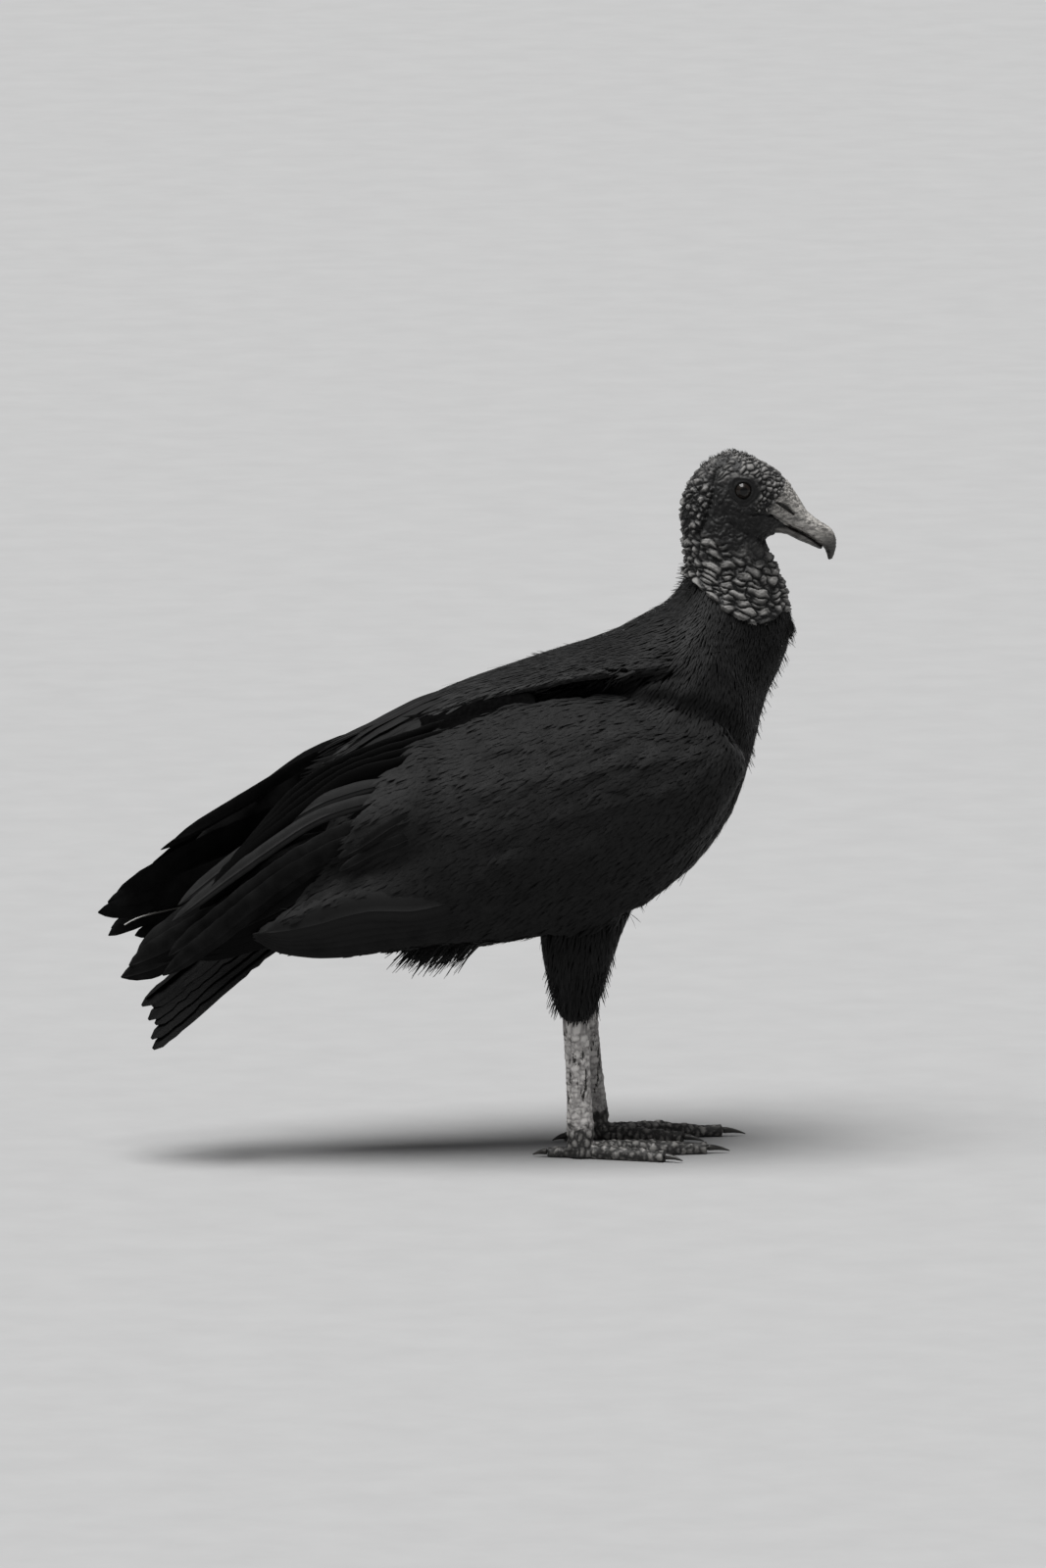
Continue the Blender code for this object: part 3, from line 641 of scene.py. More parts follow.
def coat(name, surface, chosen, half_body=0):
    """The feathers of the chosen kinds of place, as one piece. half_body is 1 for the left half only, -1 for
    the right half only."""

    def spacing(points, normals):
        return coat_spacing(surface, points, normals, chosen, half_body)

    roots, faces = scatter(surface, spacing, seed=len(name))
    free = in_open_air(surface, roots, surface.normals[faces])
    roots, faces = roots[free], faces[free]
    ups, kinds = surface.normals[faces], kinds_at(surface, roots)
    length, half, _ = coat_sizes(roots, kinds)
    length = length * rng.uniform(0.85, 1.15, len(roots))
    half = half * rng.uniform(0.85, 1.12, len(roots))
    ways = flow(roots, kinds)
    lying = abs(np.sum(ways * ups, axis=1)) < 0.86
    roots, faces, ups, kinds, ways, length, half = (
        part[lying] for part in (roots, faces, ups, kinds, ways, length, half))
    aims = flatten(ways, ups)
    aims = aims + np.cross(ups, aims) * rng.normal(0, 0.07, len(roots))[:, None]
    line, up = follow(surface, roots, aims, length, COAT_STEPS)
    astray = np.linalg.norm(surface.nearest(line[:, -1])[0] - line[:, -1], axis=1) > 0.0022
    keep = ~(astray & np.char.startswith(kinds, "wing"))
    roots, line, up, half, faces, kinds = (part[keep] for part in (roots, line, up, half, faces, kinds))
    line = line + up * coat_heights(len(line))[..., None]
    outline = np.interp(np.linspace(0, 1, COAT_STEPS), VANE_AT, VANE_WIDTH)
    on_cape = surface is cape_ground
    tint = coat_tint(roots, kinds, on_cape)
    half = half[:, None] * outline
    patches = patches_of(surface, faces)
    made = build_feathers(name, line, up, half, patches, VANE, COAT_THICK, bow=0.025, tint=tint)
    finish_piece(made, mantle_plumage_sheen if on_cape else plumage)


def finish_piece(obj, material):
    obj.data.materials.clear()
    obj.data.materials.append(material)
    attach(obj, "root")


# ---------------------------------------------------------------- finishes


def grey(level):
    return (level, level, level)


def add(tree, kind, inputs=(), **settings):
    """Adds a shader node. inputs maps sockets to values or to other nodes' outputs."""
    made = tree.nodes.new("ShaderNode" + kind)
    for key, value in settings.items():
        setattr(made, key, value)
    for key, value in dict(inputs).items():
        if isinstance(value, bpy.types.NodeSocket):
            tree.links.new(value, made.inputs[key])
        else:
            made.inputs[key].default_value = value
    return made


def calc(tree, operation, *values):
    """The result of a sum over values or other nodes' outputs."""
    return add(tree, "Math", enumerate(values), operation=operation).outputs[0]


def here(tree):
    return add(tree, "TexCoord").outputs["Object"]


def noise(tree, place, scale, detail, rough=0.5):
    """Cloudy noise from 0 to 1."""
    settings = {"Vector": place, "Scale": scale, "Detail": detail, "Roughness": rough}
    return add(tree, "TexNoise", settings).outputs["Fac"]


def ramp(tree, value, low, high, start=0.0, end=1.0):
    """value from start to end becomes low to high, smoothly."""
    inputs = {0: value, 1: start, 2: end, 3: low, 4: high}
    return add(tree, "MapRange", inputs, interpolation_type="SMOOTHSTEP").outputs[0]


def effect(name, inputs, outputs):
    """An empty node group with these sockets: its tree, its inputs and its output node."""
    tree = bpy.data.node_groups.new(name, "ShaderNodeTree")
    for key, value in inputs.items():
        socket = tree.interface.new_socket(key, in_out="INPUT", socket_type="NodeSocketFloat")
        socket.default_value = value
    for key in outputs:
        tree.interface.new_socket(key, in_out="OUTPUT", socket_type="NodeSocketFloat")
    return tree, tree.nodes.new("NodeGroupInput").outputs, tree.nodes.new("NodeGroupOutput").inputs


def mottle_effect():
    """Soft uneven patches, Size across."""
    tree, given, put = effect("mottle", {"Size": 0.01, "Low": 0.0, "High": 1.0}, ["Value"])
    cloud = noise(tree, here(tree), calc(tree, "DIVIDE", 1.0, given["Size"]), 4.0, 0.6)
    spread = add(tree, "MapRange", {0: cloud, 1: 0.32, 2: 0.68, 3: given["Low"], 4: given["High"]})
    tree.links.new(spread.outputs[0], put["Value"])
    return tree


def barbs_effect():
    """The fine slanting barbs of a vane: their height, and a shade that wanders along the feather."""
    tree, given, put = effect("barbs", {"Count": 60.0, "Slant": 0.8}, ["Height", "Shade"])
    vane = add(tree, "UVMap", uv_map="Vane").outputs[0]
    parts = add(tree, "SeparateXYZ", {0: vane}).outputs
    side = calc(tree, "ABSOLUTE", calc(tree, "SUBTRACT", parts[0], 0.5))
    run = calc(tree, "SUBTRACT", parts[1], calc(tree, "MULTIPLY", side, given["Slant"]))
    wander = noise(tree, here(tree), 420.0, 2.0)
    turns = calc(tree, "MULTIPLY_ADD", wander, 1.6, calc(tree, "MULTIPLY", run, given["Count"]))
    wave = calc(tree, "SINE", calc(tree, "MULTIPLY", turns, 2 * math.pi))
    tree.links.new(add(tree, "MapRange", {0: wave, 1: -1.0, 2: 1.0}).outputs[0], put["Height"])
    loose = add(tree, "CombineXYZ", {0: calc(tree, "MULTIPLY", turns, 0.35)}).outputs[0]
    tree.links.new(noise(tree, loose, 1.0, 2.0), put["Shade"])
    return tree


MOTTLE, BARBS = mottle_effect(), barbs_effect()


def placed(tree, group, **values):
    """Places an effect in a material, with its own values."""
    made = tree.nodes.new("ShaderNodeGroup")
    made.node_tree = group
    for key, value in values.items():
        made.inputs[key].default_value = value
    return made.outputs


def mottle(tree, size, low=0.0, high=1.0):
    return placed(tree, MOTTLE, Size=size, Low=low, High=high)["Value"]


def finish(name, **constants):
    """A new material: its tree and its shader, with the constants set on the shader's own sockets."""
    made = bpy.data.materials.new(name)
    made.use_nodes = True
    shader = made.node_tree.nodes["Principled BSDF"]
    for key, value in constants.items():
        shader.inputs[key.replace("_", " ").title().replace("Ior", "IOR")].default_value = value
    return made, made.node_tree, shader.inputs


def blend_colours(tree, share, first, second):
    """The first colour where share is 0, the second where it is 1."""
    made = tree.nodes.new("ShaderNodeMix")
    made.data_type = "RGBA"
    tree.links.new(share, made.inputs[0])
    for socket, value in ((made.inputs[6], first), (made.inputs[7], second)):
        if isinstance(value, bpy.types.NodeSocket):
            tree.links.new(value, socket)
        else:
            socket.default_value = (*value, 1)
    return made.outputs[2]


def attribute(tree, name):
    return add(tree, "Attribute", attribute_name=name).outputs["Fac"]


def worn(tree, shader, colour, roughness, height, strength, distance):
    """Joins a colour, a roughness and a bump to the shader."""
    tree.links.new(colour, shader["Base Color"])
    tree.links.new(roughness, shader["Roughness"])
    raised = add(tree, "Bump", {"Height": height, "Strength": strength, "Distance": distance})
    tree.links.new(raised.outputs[0], shader["Normal"])


def feather_finish(name, dark, light, roughness, sheen, gloss, barbs, depth):
    """Feather: barbs along each vane, and no two feathers of quite the same black. Each feather's tint also
    carries painted light and shade.
    """
    made, tree, shader = finish(name, sheen_weight=sheen, sheen_roughness=0.45, specular_ior_level=gloss)
    streak = placed(tree, BARBS, Count=barbs)
    tone = calc(tree, "MULTIPLY_ADD", attribute(tree, "tint"), 0.6, mottle(tree, 0.012, -0.25, 0.25))
    tone = calc(tree, "MULTIPLY_ADD", streak["Shade"], 0.5, tone)
    sheer = ramp(tree, streak["Shade"], roughness - 0.08, roughness + 0.08, 0.3, 0.7)
    colour = blend_colours(tree, tone, grey(dark), grey(light))
    worn(tree, shader, colour, sheer, streak["Height"], 0.3, depth)
    return made


def skin_finish():
    """Bare grey skin, with painted shade in its creases and painted light on its tops."""
    made, tree, shader = finish("bare_skin", specular_ior_level=0.28, sheen_weight=0.03)
    tops = calc(tree, "ADD", attribute(tree, "relief"), mottle(tree, 0.006, -0.14, 0.14))
    colour = blend_colours(tree, ramp(tree, tops, 0.0, 1.0, 0.10, 0.95), grey(0.003), (0.165, 0.161, 0.155))
    colour = blend_colours(tree, attribute(tree, "dark"), colour, grey(0.005))
    worn(tree, shader, colour, ramp(tree, tops, 0.56, 0.66), mottle(tree, 0.0012), 0.35, 0.0002)
    return made


def down_finish():
    """The short dark down that hides the skin between the feathers. Its near-black colour also stands in for
    the shade between them, and where the skin's dark attribute is high it turns blacker still, a painted
    shadow.
    """
    made, tree, shader = finish("down", specular_ior_level=0.04)
    patches = mottle(tree, 0.003)
    colour = blend_colours(tree, patches, grey(0.0016), grey(0.0038))
    # painted shadow: the dark attribute takes the down to near black under the mantle's edge
    deep = ramp(tree, attribute(tree, "dark"), 0.0, 1.0, 0.1, 0.6)
    colour = blend_colours(tree, deep, colour, grey(0.0002))
    worn(tree, shader, colour, ramp(tree, patches, 0.8, 0.95), patches, 0.6, 0.0006)
    return made


def scale_finish():
    """The scaly skin of the legs: whitish scuffs over grey above, dark toes."""
    made, tree, shader = finish("scale", specular_ior_level=0.4)
    relief = attribute(tree, "relief")
    white = calc(tree, "ADD", attribute(tree, "pale"), mottle(tree, 0.007, -0.3, 0.3))
    on_grime, on_chalk = (ramp(tree, relief, 0.0, 1.0, *span) for span in ((0.2, 0.9), (0.1, 0.7)))
    grime = blend_colours(tree, on_grime, (0.020, 0.019, 0.018), (0.230, 0.222, 0.210))
    chalk = blend_colours(tree, on_chalk, (0.20, 0.19, 0.185), (0.60, 0.58, 0.56))
    tall = add(tree, "Mapping", {"Vector": here(tree), "Scale": (230, 230, 55)}).outputs[0]
    scuff = ramp(tree, noise(tree, tall, 1.0, 5.0, 0.7), 0.0, 1.0, 0.57, 0.62)
    chalk = blend_colours(tree, scuff, chalk, (0.022, 0.020, 0.018))
    colour = blend_colours(tree, ramp(tree, white, 0.0, 1.0, 0.3, 0.7), grime, chalk)
    worn(tree, shader, colour, ramp(tree, white, 0.55, 0.72), mottle(tree, 0.0012), 0.4, 0.0002)
    return made


def horn_finish(name, dark, light, tip, roughness):
    """Horn with long streaks, darker towards the attribute called dark."""
    made, tree, shader = finish(name, specular_ior_level=0.5)
    laid = {"Vector": here(tree), "Rotation": (0, math.radians(38), 0), "Scale": (140, 420, 520)}
    streak = noise(tree, add(tree, "Mapping", laid).outputs[0], 1.0, 7.0, 0.80)
    colour = blend_colours(tree, ramp(tree, streak, 0.0, 1.0, 0.40, 0.60), dark, light)
    colour = blend_colours(tree, attribute(tree, "dark"), colour, tip)
    sheer = ramp(tree, streak, roughness - 0.06, roughness + 0.08, 0.3, 0.7)
    worn(tree, shader, colour, sheer, streak, 0.35, 0.00025)
    return made


def eye_finish():
    """A dark brown iris round a black pupil, under a wet cornea."""
    made, tree, shader = finish(
        "eye", roughness=0.4, coat_weight=0.4, coat_roughness=0.04, specular_ior_level=0.1)
    parts = add(tree, "SeparateXYZ", {0: here(tree)}).outputs
    aim = add(tree, "CombineXYZ", {0: parts[0], 2: parts[2]}).outputs[0]
    far = add(tree, "VectorMath", {0: aim, 1: (EYE[0], 0, EYE[2])}, operation="DISTANCE").outputs["Value"]
    iris = blend_colours(tree, mottle(tree, 0.0012), (0.004, 0.003, 0.002), (0.012, 0.008, 0.006))
    pupil = ramp(tree, far, 1.0, 0.0, 0.0022, 0.0025)
    tree.links.new(blend_colours(tree, pupil, iris, grey(0.001)), shader["Base Color"])
    return made


EYE = (0.1738, 0.0150, 0.4205)
EYE_RADIUS = 0.0067
plumage = feather_finish("plumage", 0.0014, 0.0094, 0.60, 0.05, 0.14, 26.0, 0.0001)
# the mantle's feathers reach a paler black than the rest, for the painted sheen at the rear of the mantle
mantle_plumage_sheen = feather_finish("mantle_plumage_sheen", 0.0028, 0.0200, 0.58, 0.06, 0.15, 26.0, 0.0001)
flight = feather_finish("flight", 0.0006, 0.0120, 0.54, 0.015, 0.06, 150.0, 0.00016)
shaft_pale = finish("pale_shaft", base_color=(0.16, 0.155, 0.145, 1), roughness=0.45)[0]
bare_skin, down, scale, eye_shine = skin_finish(), down_finish(), scale_finish(), eye_finish()
bill_horn = horn_finish("bill_horn", (0.100, 0.096, 0.090), (0.50, 0.48, 0.45), (0.012, 0.011, 0.010), 0.45)
claw_horn = horn_finish("claw_horn", (0.012, 0.011, 0.010), (0.045, 0.042, 0.038), (0.02, 0.018, 0.016), 0.38)

# ---------------------------------------------------------------- the bare head and neck

# Lines of the face seen from the side: x, then height.
MOUTH_LINE = [
    (0.1776, 0.4046), (0.1850, 0.4050), (0.1950, 0.4030), (0.2030, 0.3980), (0.2070, 0.3945),
    (0.2160, 0.3900), (0.2235, 0.3850), (0.2310, 0.3780),
]
NOSTRIL = [(0.1960, 0.4118), (0.2000, 0.4100), (0.2045, 0.4068), (0.2080, 0.4034)]
FACE_CREASE = [
    (0.1640, 0.4385), (0.1580, 0.4340), (0.1548, 0.4250), (0.1538, 0.4160), (0.1510, 0.4070),
    (0.1480, 0.3990), (0.1440, 0.3920),
]
THROAT_FOLD = [(0.1590, 0.4120), (0.1640, 0.4020), (0.1710, 0.3960), (0.1820, 0.3915), (0.1920, 0.3860)]
CERE_EDGE = ((0.1880, 0.4030), (0.2050, 0.4260))  # where the bare face ends and the cere begins
EAR = (0.1560, 0.4040)
NECK_TOP = ([0.140, 0.147, 0.155, 0.164, 0.173, 0.192], [0.400, 0.396, 0.391, 0.386, 0.380, 0.383])
# Distances from the middle of the eye, and how far out the lids lie there.
LID_AT = [0.0, 0.0044, 0.0049, 0.0055, 0.0063, 0.0074, 0.0090, 0.0105, 0.0118]
LID_OUT = [0.0120, 0.0120, 0.0192, 0.0200, 0.0202, 0.0198, 0.0194, 0.0191, 0.0188]
HEAD_CUT = 0.318  # the neck's skin is cut off at this height, under the coat


def from_eye(points):
    return np.hypot(points[:, 0] - EYE[0], points[:, 2] - EYE[2])


def past_cere(points):
    """How far points lie ahead of the line where the cere begins."""
    (x0, z0), (x1, z1) = CERE_EDGE
    length = math.hypot(x1 - x0, z1 - z0)
    return ((points[:, 0] - x0) * (z1 - z0) - (points[:, 2] - z0) * (x1 - x0)) / length


def above_mouth(points):
    """Height above the line of the mouth, across it."""
    (x0, z0), (x1, z1) = MOUTH_LINE[2], MOUTH_LINE[-1]
    length = math.hypot(x1 - x0, z1 - z0)
    return ((points[:, 2] - z0) * (x1 - x0) - (points[:, 0] - x0) * (z1 - z0)) / length


def jaw_lines(points):
    """The mouth and the long open nostrils, cut into the sides of the face and the bill."""
    side = smoothstep(0.0022, 0.0042, abs(points[:, 1]))
    mouth = groove(points, MOUTH_LINE, 0.0008)
    slit, along = to_line(points[:, [0, 2]], NOSTRIL)
    wide = 0.0005 + 0.0006 * np.sin(math.pi * along)
    return side * mouth, side * smoothstep(1.5, 0.6, slit / wide)


def head_zones(points):
    """How much each point belongs to the neck, the nape, the crown, the lores and the plain face."""
    x, _, z = points.T
    crease_x, crease_z = np.array(FACE_CREASE[::-1]).T
    back = smoothstep(0.0030, -0.0010, x - np.interp(z, crease_z, crease_x))
    nape = back * smoothstep(0.386, 0.394, z)
    neck = smoothstep(0.0030, -0.0050, z - np.interp(x, *NECK_TOP)) * (1 - nape)
    crown = smoothstep(0.424, 0.432, z) * (1 - nape)
    lores = (1 - crown) * smoothstep(0.0095, 0.0125, from_eye(points)) * smoothstep(0.402, 0.408, z)
    lores = lores * smoothstep(0.178, 0.184, x) * smoothstep(0.003, -0.003, past_cere(points))
    return neck, nape, crown, lores, np.clip(1 - neck - nape - crown - lores, 0, 1)


def bend(points):
    """The points shifted a little to and fro, so that rows of bumps wander."""
    wide = 0.0013 * np.sin(points[:, [2, 0, 1]] / 0.0041 + 1.7)
    return points + wide + 0.0008 * np.sin(points[:, [1, 2, 0]] / 0.0019)


def warts(points, zones):
    """How far the folds of the neck and the warts of nape, crown and lores stand out."""
    neck, nape, crown, lores, _ = zones
    x, _, z = points.T
    bent = bend(points)
    # the lowest folds run along the edge of the feathers
    hug = 0.35 * smoothstep(0.020, 0.004, above_edge(points))
    level = z + 0.25 * (x - 0.172) * (1 - hug) - (np.interp(x, *np.array(BARE_EDGE).T) - 0.336) * hug
    rows = np.stack([bent[:, 0], bent[:, 1], level + bent[:, 2] - z], axis=1)
    tilted = np.stack([bent[:, 0] + 0.5 * bent[:, 2], bent[:, 1], bent[:, 2] - 0.5 * bent[:, 0]], axis=1)
    folds = 0.0027 * bumps(rows, (0.0104, 0.0095, 0.0047), 3, 0.70, (0.45, 0.45, 0.26))
    folds = folds + 0.0008 * bumps(rows, (0.0062, 0.0060, 0.0027), 4, 0.8)
    knobs = 0.0026 * bumps(bent, (0.0056, 0.0056, 0.0046), 5) + 0.0009 * bumps(bent, 0.0026, 6)
    ridges = crown * 0.0017 * bumps(tilted, (0.0100, 0.0044, 0.0025), 7, 0.8)
    grains = lores * 0.0026 * bumps(bent, 0.0033, 9)
    return neck * folds + nape * (1 - 0.6 * smoothstep(0.420, 0.432, z)) * knobs + ridges + grains


def face_lines(points):
    """How deep the creases of the face, the ears, the mouth and the nostrils are."""
    x, y, z = points.T
    ear = np.exp(-(((x - EAR[0]) / 0.0019) ** 2) - ((z - EAR[1]) / 0.0026) ** 2)
    lines = 0.0020 * groove(points, FACE_CREASE, 0.0015) + 0.0012 * groove(points, THROAT_FOLD, 0.0014)
    mouth, slit = jaw_lines(points)
    return (lines + 0.0012 * ear) * smoothstep(0.006, 0.010, abs(y)) + 0.0012 * mouth + 0.0016 * slit


def lid_distance(points):
    """Distance from the middle of the eye, a little uneven among the folds of the lids."""
    round_eye = from_eye(points)
    turn = np.arctan2(points[:, 2] - EYE[2], points[:, 0] - EYE[0])
    uneven = 0.10 * np.sin(2 * turn + 0.4) + 0.07 * np.sin(5 * turn)
    return round_eye * (1 + smoothstep(0.0060, 0.0085, round_eye) * uneven)


def faces_out(points, out):
    """True on the outer sides of the head."""
    return (out[:, 1] * np.sign(points[:, 1]) > 0.1) & (abs(points[:, 1]) > 0.008)


def with_lids(points, out, moved):
    """The moved points, with a ring of lids that stands round each ball of the eye."""
    lid = lid_distance(points)
    folds = 0.00040 * np.sin(lid / 0.00040) * smoothstep(0.0062, 0.0070, from_eye(points))
    shape = np.interp(lid, LID_AT, LID_OUT) + folds
    share = np.where(faces_out(points, out), smoothstep(0.0118, 0.0078, lid), 0)
    moved[:, 1] = moved[:, 1] * (1 - share) + np.sign(points[:, 1]) * shape * share
    return moved


def head_dark(points, moved, out, zones, wrinkle):
    """How dark the skin is: round the eyes and over the plain face, which is darker still on the cheek and
    jaw, partly as painted shade; painted shade in the creases, mouth and nostrils and on the neck under the
    face;
    and a painted highlight on the tops of the wrinkles.
    """
    x, y, z = points.T
    neck, plain = zones[0], zones[-1]
    rim = smoothstep(0.0074, 0.0058, from_eye(points)) + smoothstep(0.0110, 0.0085, lid_distance(points))
    mouth, slit = jaw_lines(points)
    crease = groove(moved, FACE_CREASE, 0.0024) + groove(moved, THROAT_FOLD, 0.0022)
    face = plain * smoothstep(0.001, -0.004, past_cere(points))
    cheek = smoothstep(0.414, 0.402, z) * smoothstep(0.380, 0.388, z)
    jaw = plain * smoothstep(0.172, 0.178, x) * smoothstep(0.0010, -0.0020, above_mouth(moved))
    chin = smoothstep(-0.018, -0.002, z - np.interp(x, *NECK_TOP))
    shaded_under_face = neck * chin * smoothstep(0.152, 0.164, x)
    # painted shade in the mouth, the nostrils, the creases and on the neck under the face; the plain face is
    # dark skin, darkened further on the cheek and jaw partly as painted shade
    dark = 0.5 * rim * faces_out(points, out) + 0.7 * mouth + slit + face * (0.93 + 0.85 * cheek)
    dark = dark + 0.9 * crease * smoothstep(0.004, 0.008, abs(y)) + 0.9 * jaw + 0.5 * shaded_under_face
    # lighter on the tops of the wrinkles: a painted highlight
    return np.clip(dark, 0, 1) * (1 - 0.20 * smoothstep(0.05, 0.40, wrinkle))


def head_skin():
    """Bare head and neck: folds in rows on the neck, warts on nape, crown and lores, lids round the eyes."""
    members = ["neck_lower", "neck_upper", "head"] + [f"eye_{side}" for side, _ in SIDES]
    made = shell("head_skin", members, HEAD_GRAIN, 2, below=HEAD_CUT)
    points, out = points_of(made), normals_of(made)
    x, over, bent = points[:, 0], above_edge(points), bend(points)
    zones = head_zones(points)
    _, nape, crown, _, plain = zones
    wart = warts(points, zones)
    fine = 0.0005 * bumps(points, 0.0024, 13) + 0.0003 * bumps(points, 0.0014, 17)
    wrinkle = plain * bumps(bent, (0.0042, 0.0032, 0.0026), 19)
    soft = 0.0009 * plain * bumps(bent, (0.0070, 0.0050, 0.0045), 15) + 0.0008 * wrinkle
    calm = smoothstep(0.0062, 0.0110, lid_distance(points))
    push = (wart + soft) * calm + fine * (0.25 + 0.45 * calm * (1 - plain) + 0.6 * plain)
    push = push - face_lines(points) * calm
    # the skin dives under the feathers, and its lowest fold overhangs them
    under = -0.0040 * smoothstep(0.0005, -0.0045, over)
    lip = 0.0016 * smoothstep(0.008, 0.001, over) * smoothstep(0.206, 0.196, x)
    push = np.where(over < 0, under + push * smoothstep(-0.004, 0.0, over), push + lip)
    at_cere = smoothstep(0.0010, 0.0035, past_cere(points))
    push = push - 0.0016 * at_cere * smoothstep(-0.0014, 0.0004, above_mouth(points))
    moved = with_lids(points, out, points + out * push[:, None])
    move_to(made, moved)
    # the relief also sets the colour of the bare skin: painted shade in the creases and painted light on the
    # tops
    relief = 0.55 + wart / 0.0030 * (1 + 0.5 * nape + 0.9 * crown)
    relief = relief + fine / 0.0010 * 0.30 * (0.5 + 0.5 * calm)
    store(made, "relief", np.clip(relief, 0, 1))
    store(made, "dark", head_dark(points, moved, out, zones, wrinkle))
    store(made, "pale", 0 * x)
    return made


# ---------------------------------------------------------------- the one skin


def body_skin(flesh, cape):
    """The skin under the coat: the flesh and the mantle, drawn in by the depth of the coat."""
    only(flesh, cape)
    bpy.ops.object.join()
    made = cape
    made.name = made.data.name = "body_skin"
    move_to(made, points_of(made) - normals_of(made) * (COAT_DEPTH + SWELL))
    apply(made, "REMESH", mode="VOXEL", voxel_size=BODY_GRAIN)
    apply(made, "DECIMATE", ratio=BODY_KEPT)
    points = points_of(made)
    for name in ("relief", "pale"):
        store(made, name, np.zeros(len(points)))
    # painted shadow: the skin turns near black along the mantle's lower edge, where the mantle's shadow falls
    under_mantle = smoothstep(0.006, 0.014, abs(points[:, 1])) * smoothstep(0.115, 0.090, points[:, 0])
    store(made, "dark", under_mantle * groove(points, MANTLE_EDGE, 0.0105))
    return made


def leg_skin(side):
    """Tarsus, foot and toes, scaly in front and on top of the toes."""
    members = [f"tarsus_{side}", f"foot_{side}"] + [f"toe_{side}_{n}" for n in TOES]
    made = shell(f"leg_skin_{side}", members, LEG_GRAIN, 2)
    points, out = points_of(made), normals_of(made)
    x, _, z = points.T
    toes = smoothstep(0.022, 0.014, z)
    scutes = (1 - toes) * 0.0006 * bumps(points, (0.0060, 0.0060, 0.0042), 21)
    scutes = scutes + toes * 0.0008 * bumps(points, (0.0042, 0.0060, 0.0060), 23)
    fine = 0.0003 * bumps(points, 0.0018, 25)
    soles = smoothstep(-0.2, -0.7, out[:, 2])
    moved = points + out * ((scutes + fine) * (1 - 0.8 * soles))[:, None]
    moved[:, 2] += np.maximum(moved[:, 2] - 0.080, 0) * 2.0  # the top reaches up into the thigh
    moved[:, 2] = np.maximum(moved[:, 2], 0)
    move_to(made, moved)
    store(made, "relief", np.clip(0.62 + (scutes / 0.0008 + fine / 0.0006) * 0.8, 0, 1))
    store(made, "pale", 0.24 + 0.76 * smoothstep(0.012, 0.032, z))
    store(made, "dark", 0 * x)
    return made


def one_skin(flesh, cape):
    """Joins head, body and legs into one piece. Returns the head's surface, for bristles to grow on."""
    parts = [head_skin(), body_skin(flesh, cape)] + [leg_skin(side) for side, _ in SIDES]
    head = parts[0]
    bare = Surface(unwrapped(head))
    head.data.uv_layers.remove(head.data.uv_layers[0])
    for part, ratio, material in zip(parts, SKIN_KEPT, (bare_skin, down, scale, scale)):
        apply(part, "DECIMATE", ratio=ratio)
        part.data.materials.append(material)
    head.data.materials.append(down)
    low = above_edge(points_of(head)) < -0.003
    for face in head.data.polygons:
        if low[face.vertices[0]]:
            face.material_index = 1
    only(*parts)
    bpy.ops.object.join()
    made = parts[-1]
    made.name = made.data.name = "skin"
    rounded(made)
    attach(made, "root")
    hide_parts("trunk", "neck_lower", "neck_upper", "head", "mantle")
    for side, _ in SIDES:
        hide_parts(f"wing_{side}_coverts", f"thigh_{side}", f"tarsus_{side}", f"foot_{side}")
        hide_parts(*(f"toe_{side}_{n}" for n in TOES))
    return bare


# ---------------------------------------------------------------- bill, eyes and claws


CERE_LAP = 0.003  # how far the horn runs back under the edge of the bare face
HOOK = 0.0290  # the length of the upper bill's tip, which reaches down past the mouth
CUTTER_REAR, CUTTER_FLOOR = 0.150, 0.300


def trim_below(obj, place, slope, reach):
    """Cuts away what lies under a plane, behind x = reach only."""
    bpy.ops.mesh.primitive_cube_add(size=1)
    cutter = bpy.context.object
    front, across, upper = points_of(cutter).T
    x = np.where(front > 0, reach, CUTTER_REAR)
    top = place[2] - (x - place[0]) * slope[0] / slope[2]
    move_to(cutter, np.stack([x, across * 0.2, np.where(upper > 0, top, CUTTER_FLOOR)], axis=1))
    apply(obj, "BOOLEAN", object=cutter, operation="DIFFERENCE", solver="EXACT")
    bpy.data.objects.remove(cutter)


def upper_bill():
    """The upper half of the bill, run back over the cere, under the edge of the bare face."""
    made = copy_of("bill_upper_horn", ["bill_upper", "head"])
    (x0, z0), (x1, z1) = CERE_EDGE
    slope = Vector((z1 - z0, 0, x0 - x1)).normalized()
    edit(made, bpy.ops.mesh.bisect, plane_co=Vector((x0, 0, z0)) - slope * CERE_LAP, plane_no=-slope,
         use_fill=True, clear_outer=True)
    (x0, z0), (x1, z1) = MOUTH_LINE[2], MOUTH_LINE[-1]
    slope = Vector((z1 - z0, 0, x0 - x1)).normalized()
    trim_below(made, Vector((x0, 0, z0 - 0.0006)), slope, max(points_of(made)[:, 0]) - HOOK)
    return made


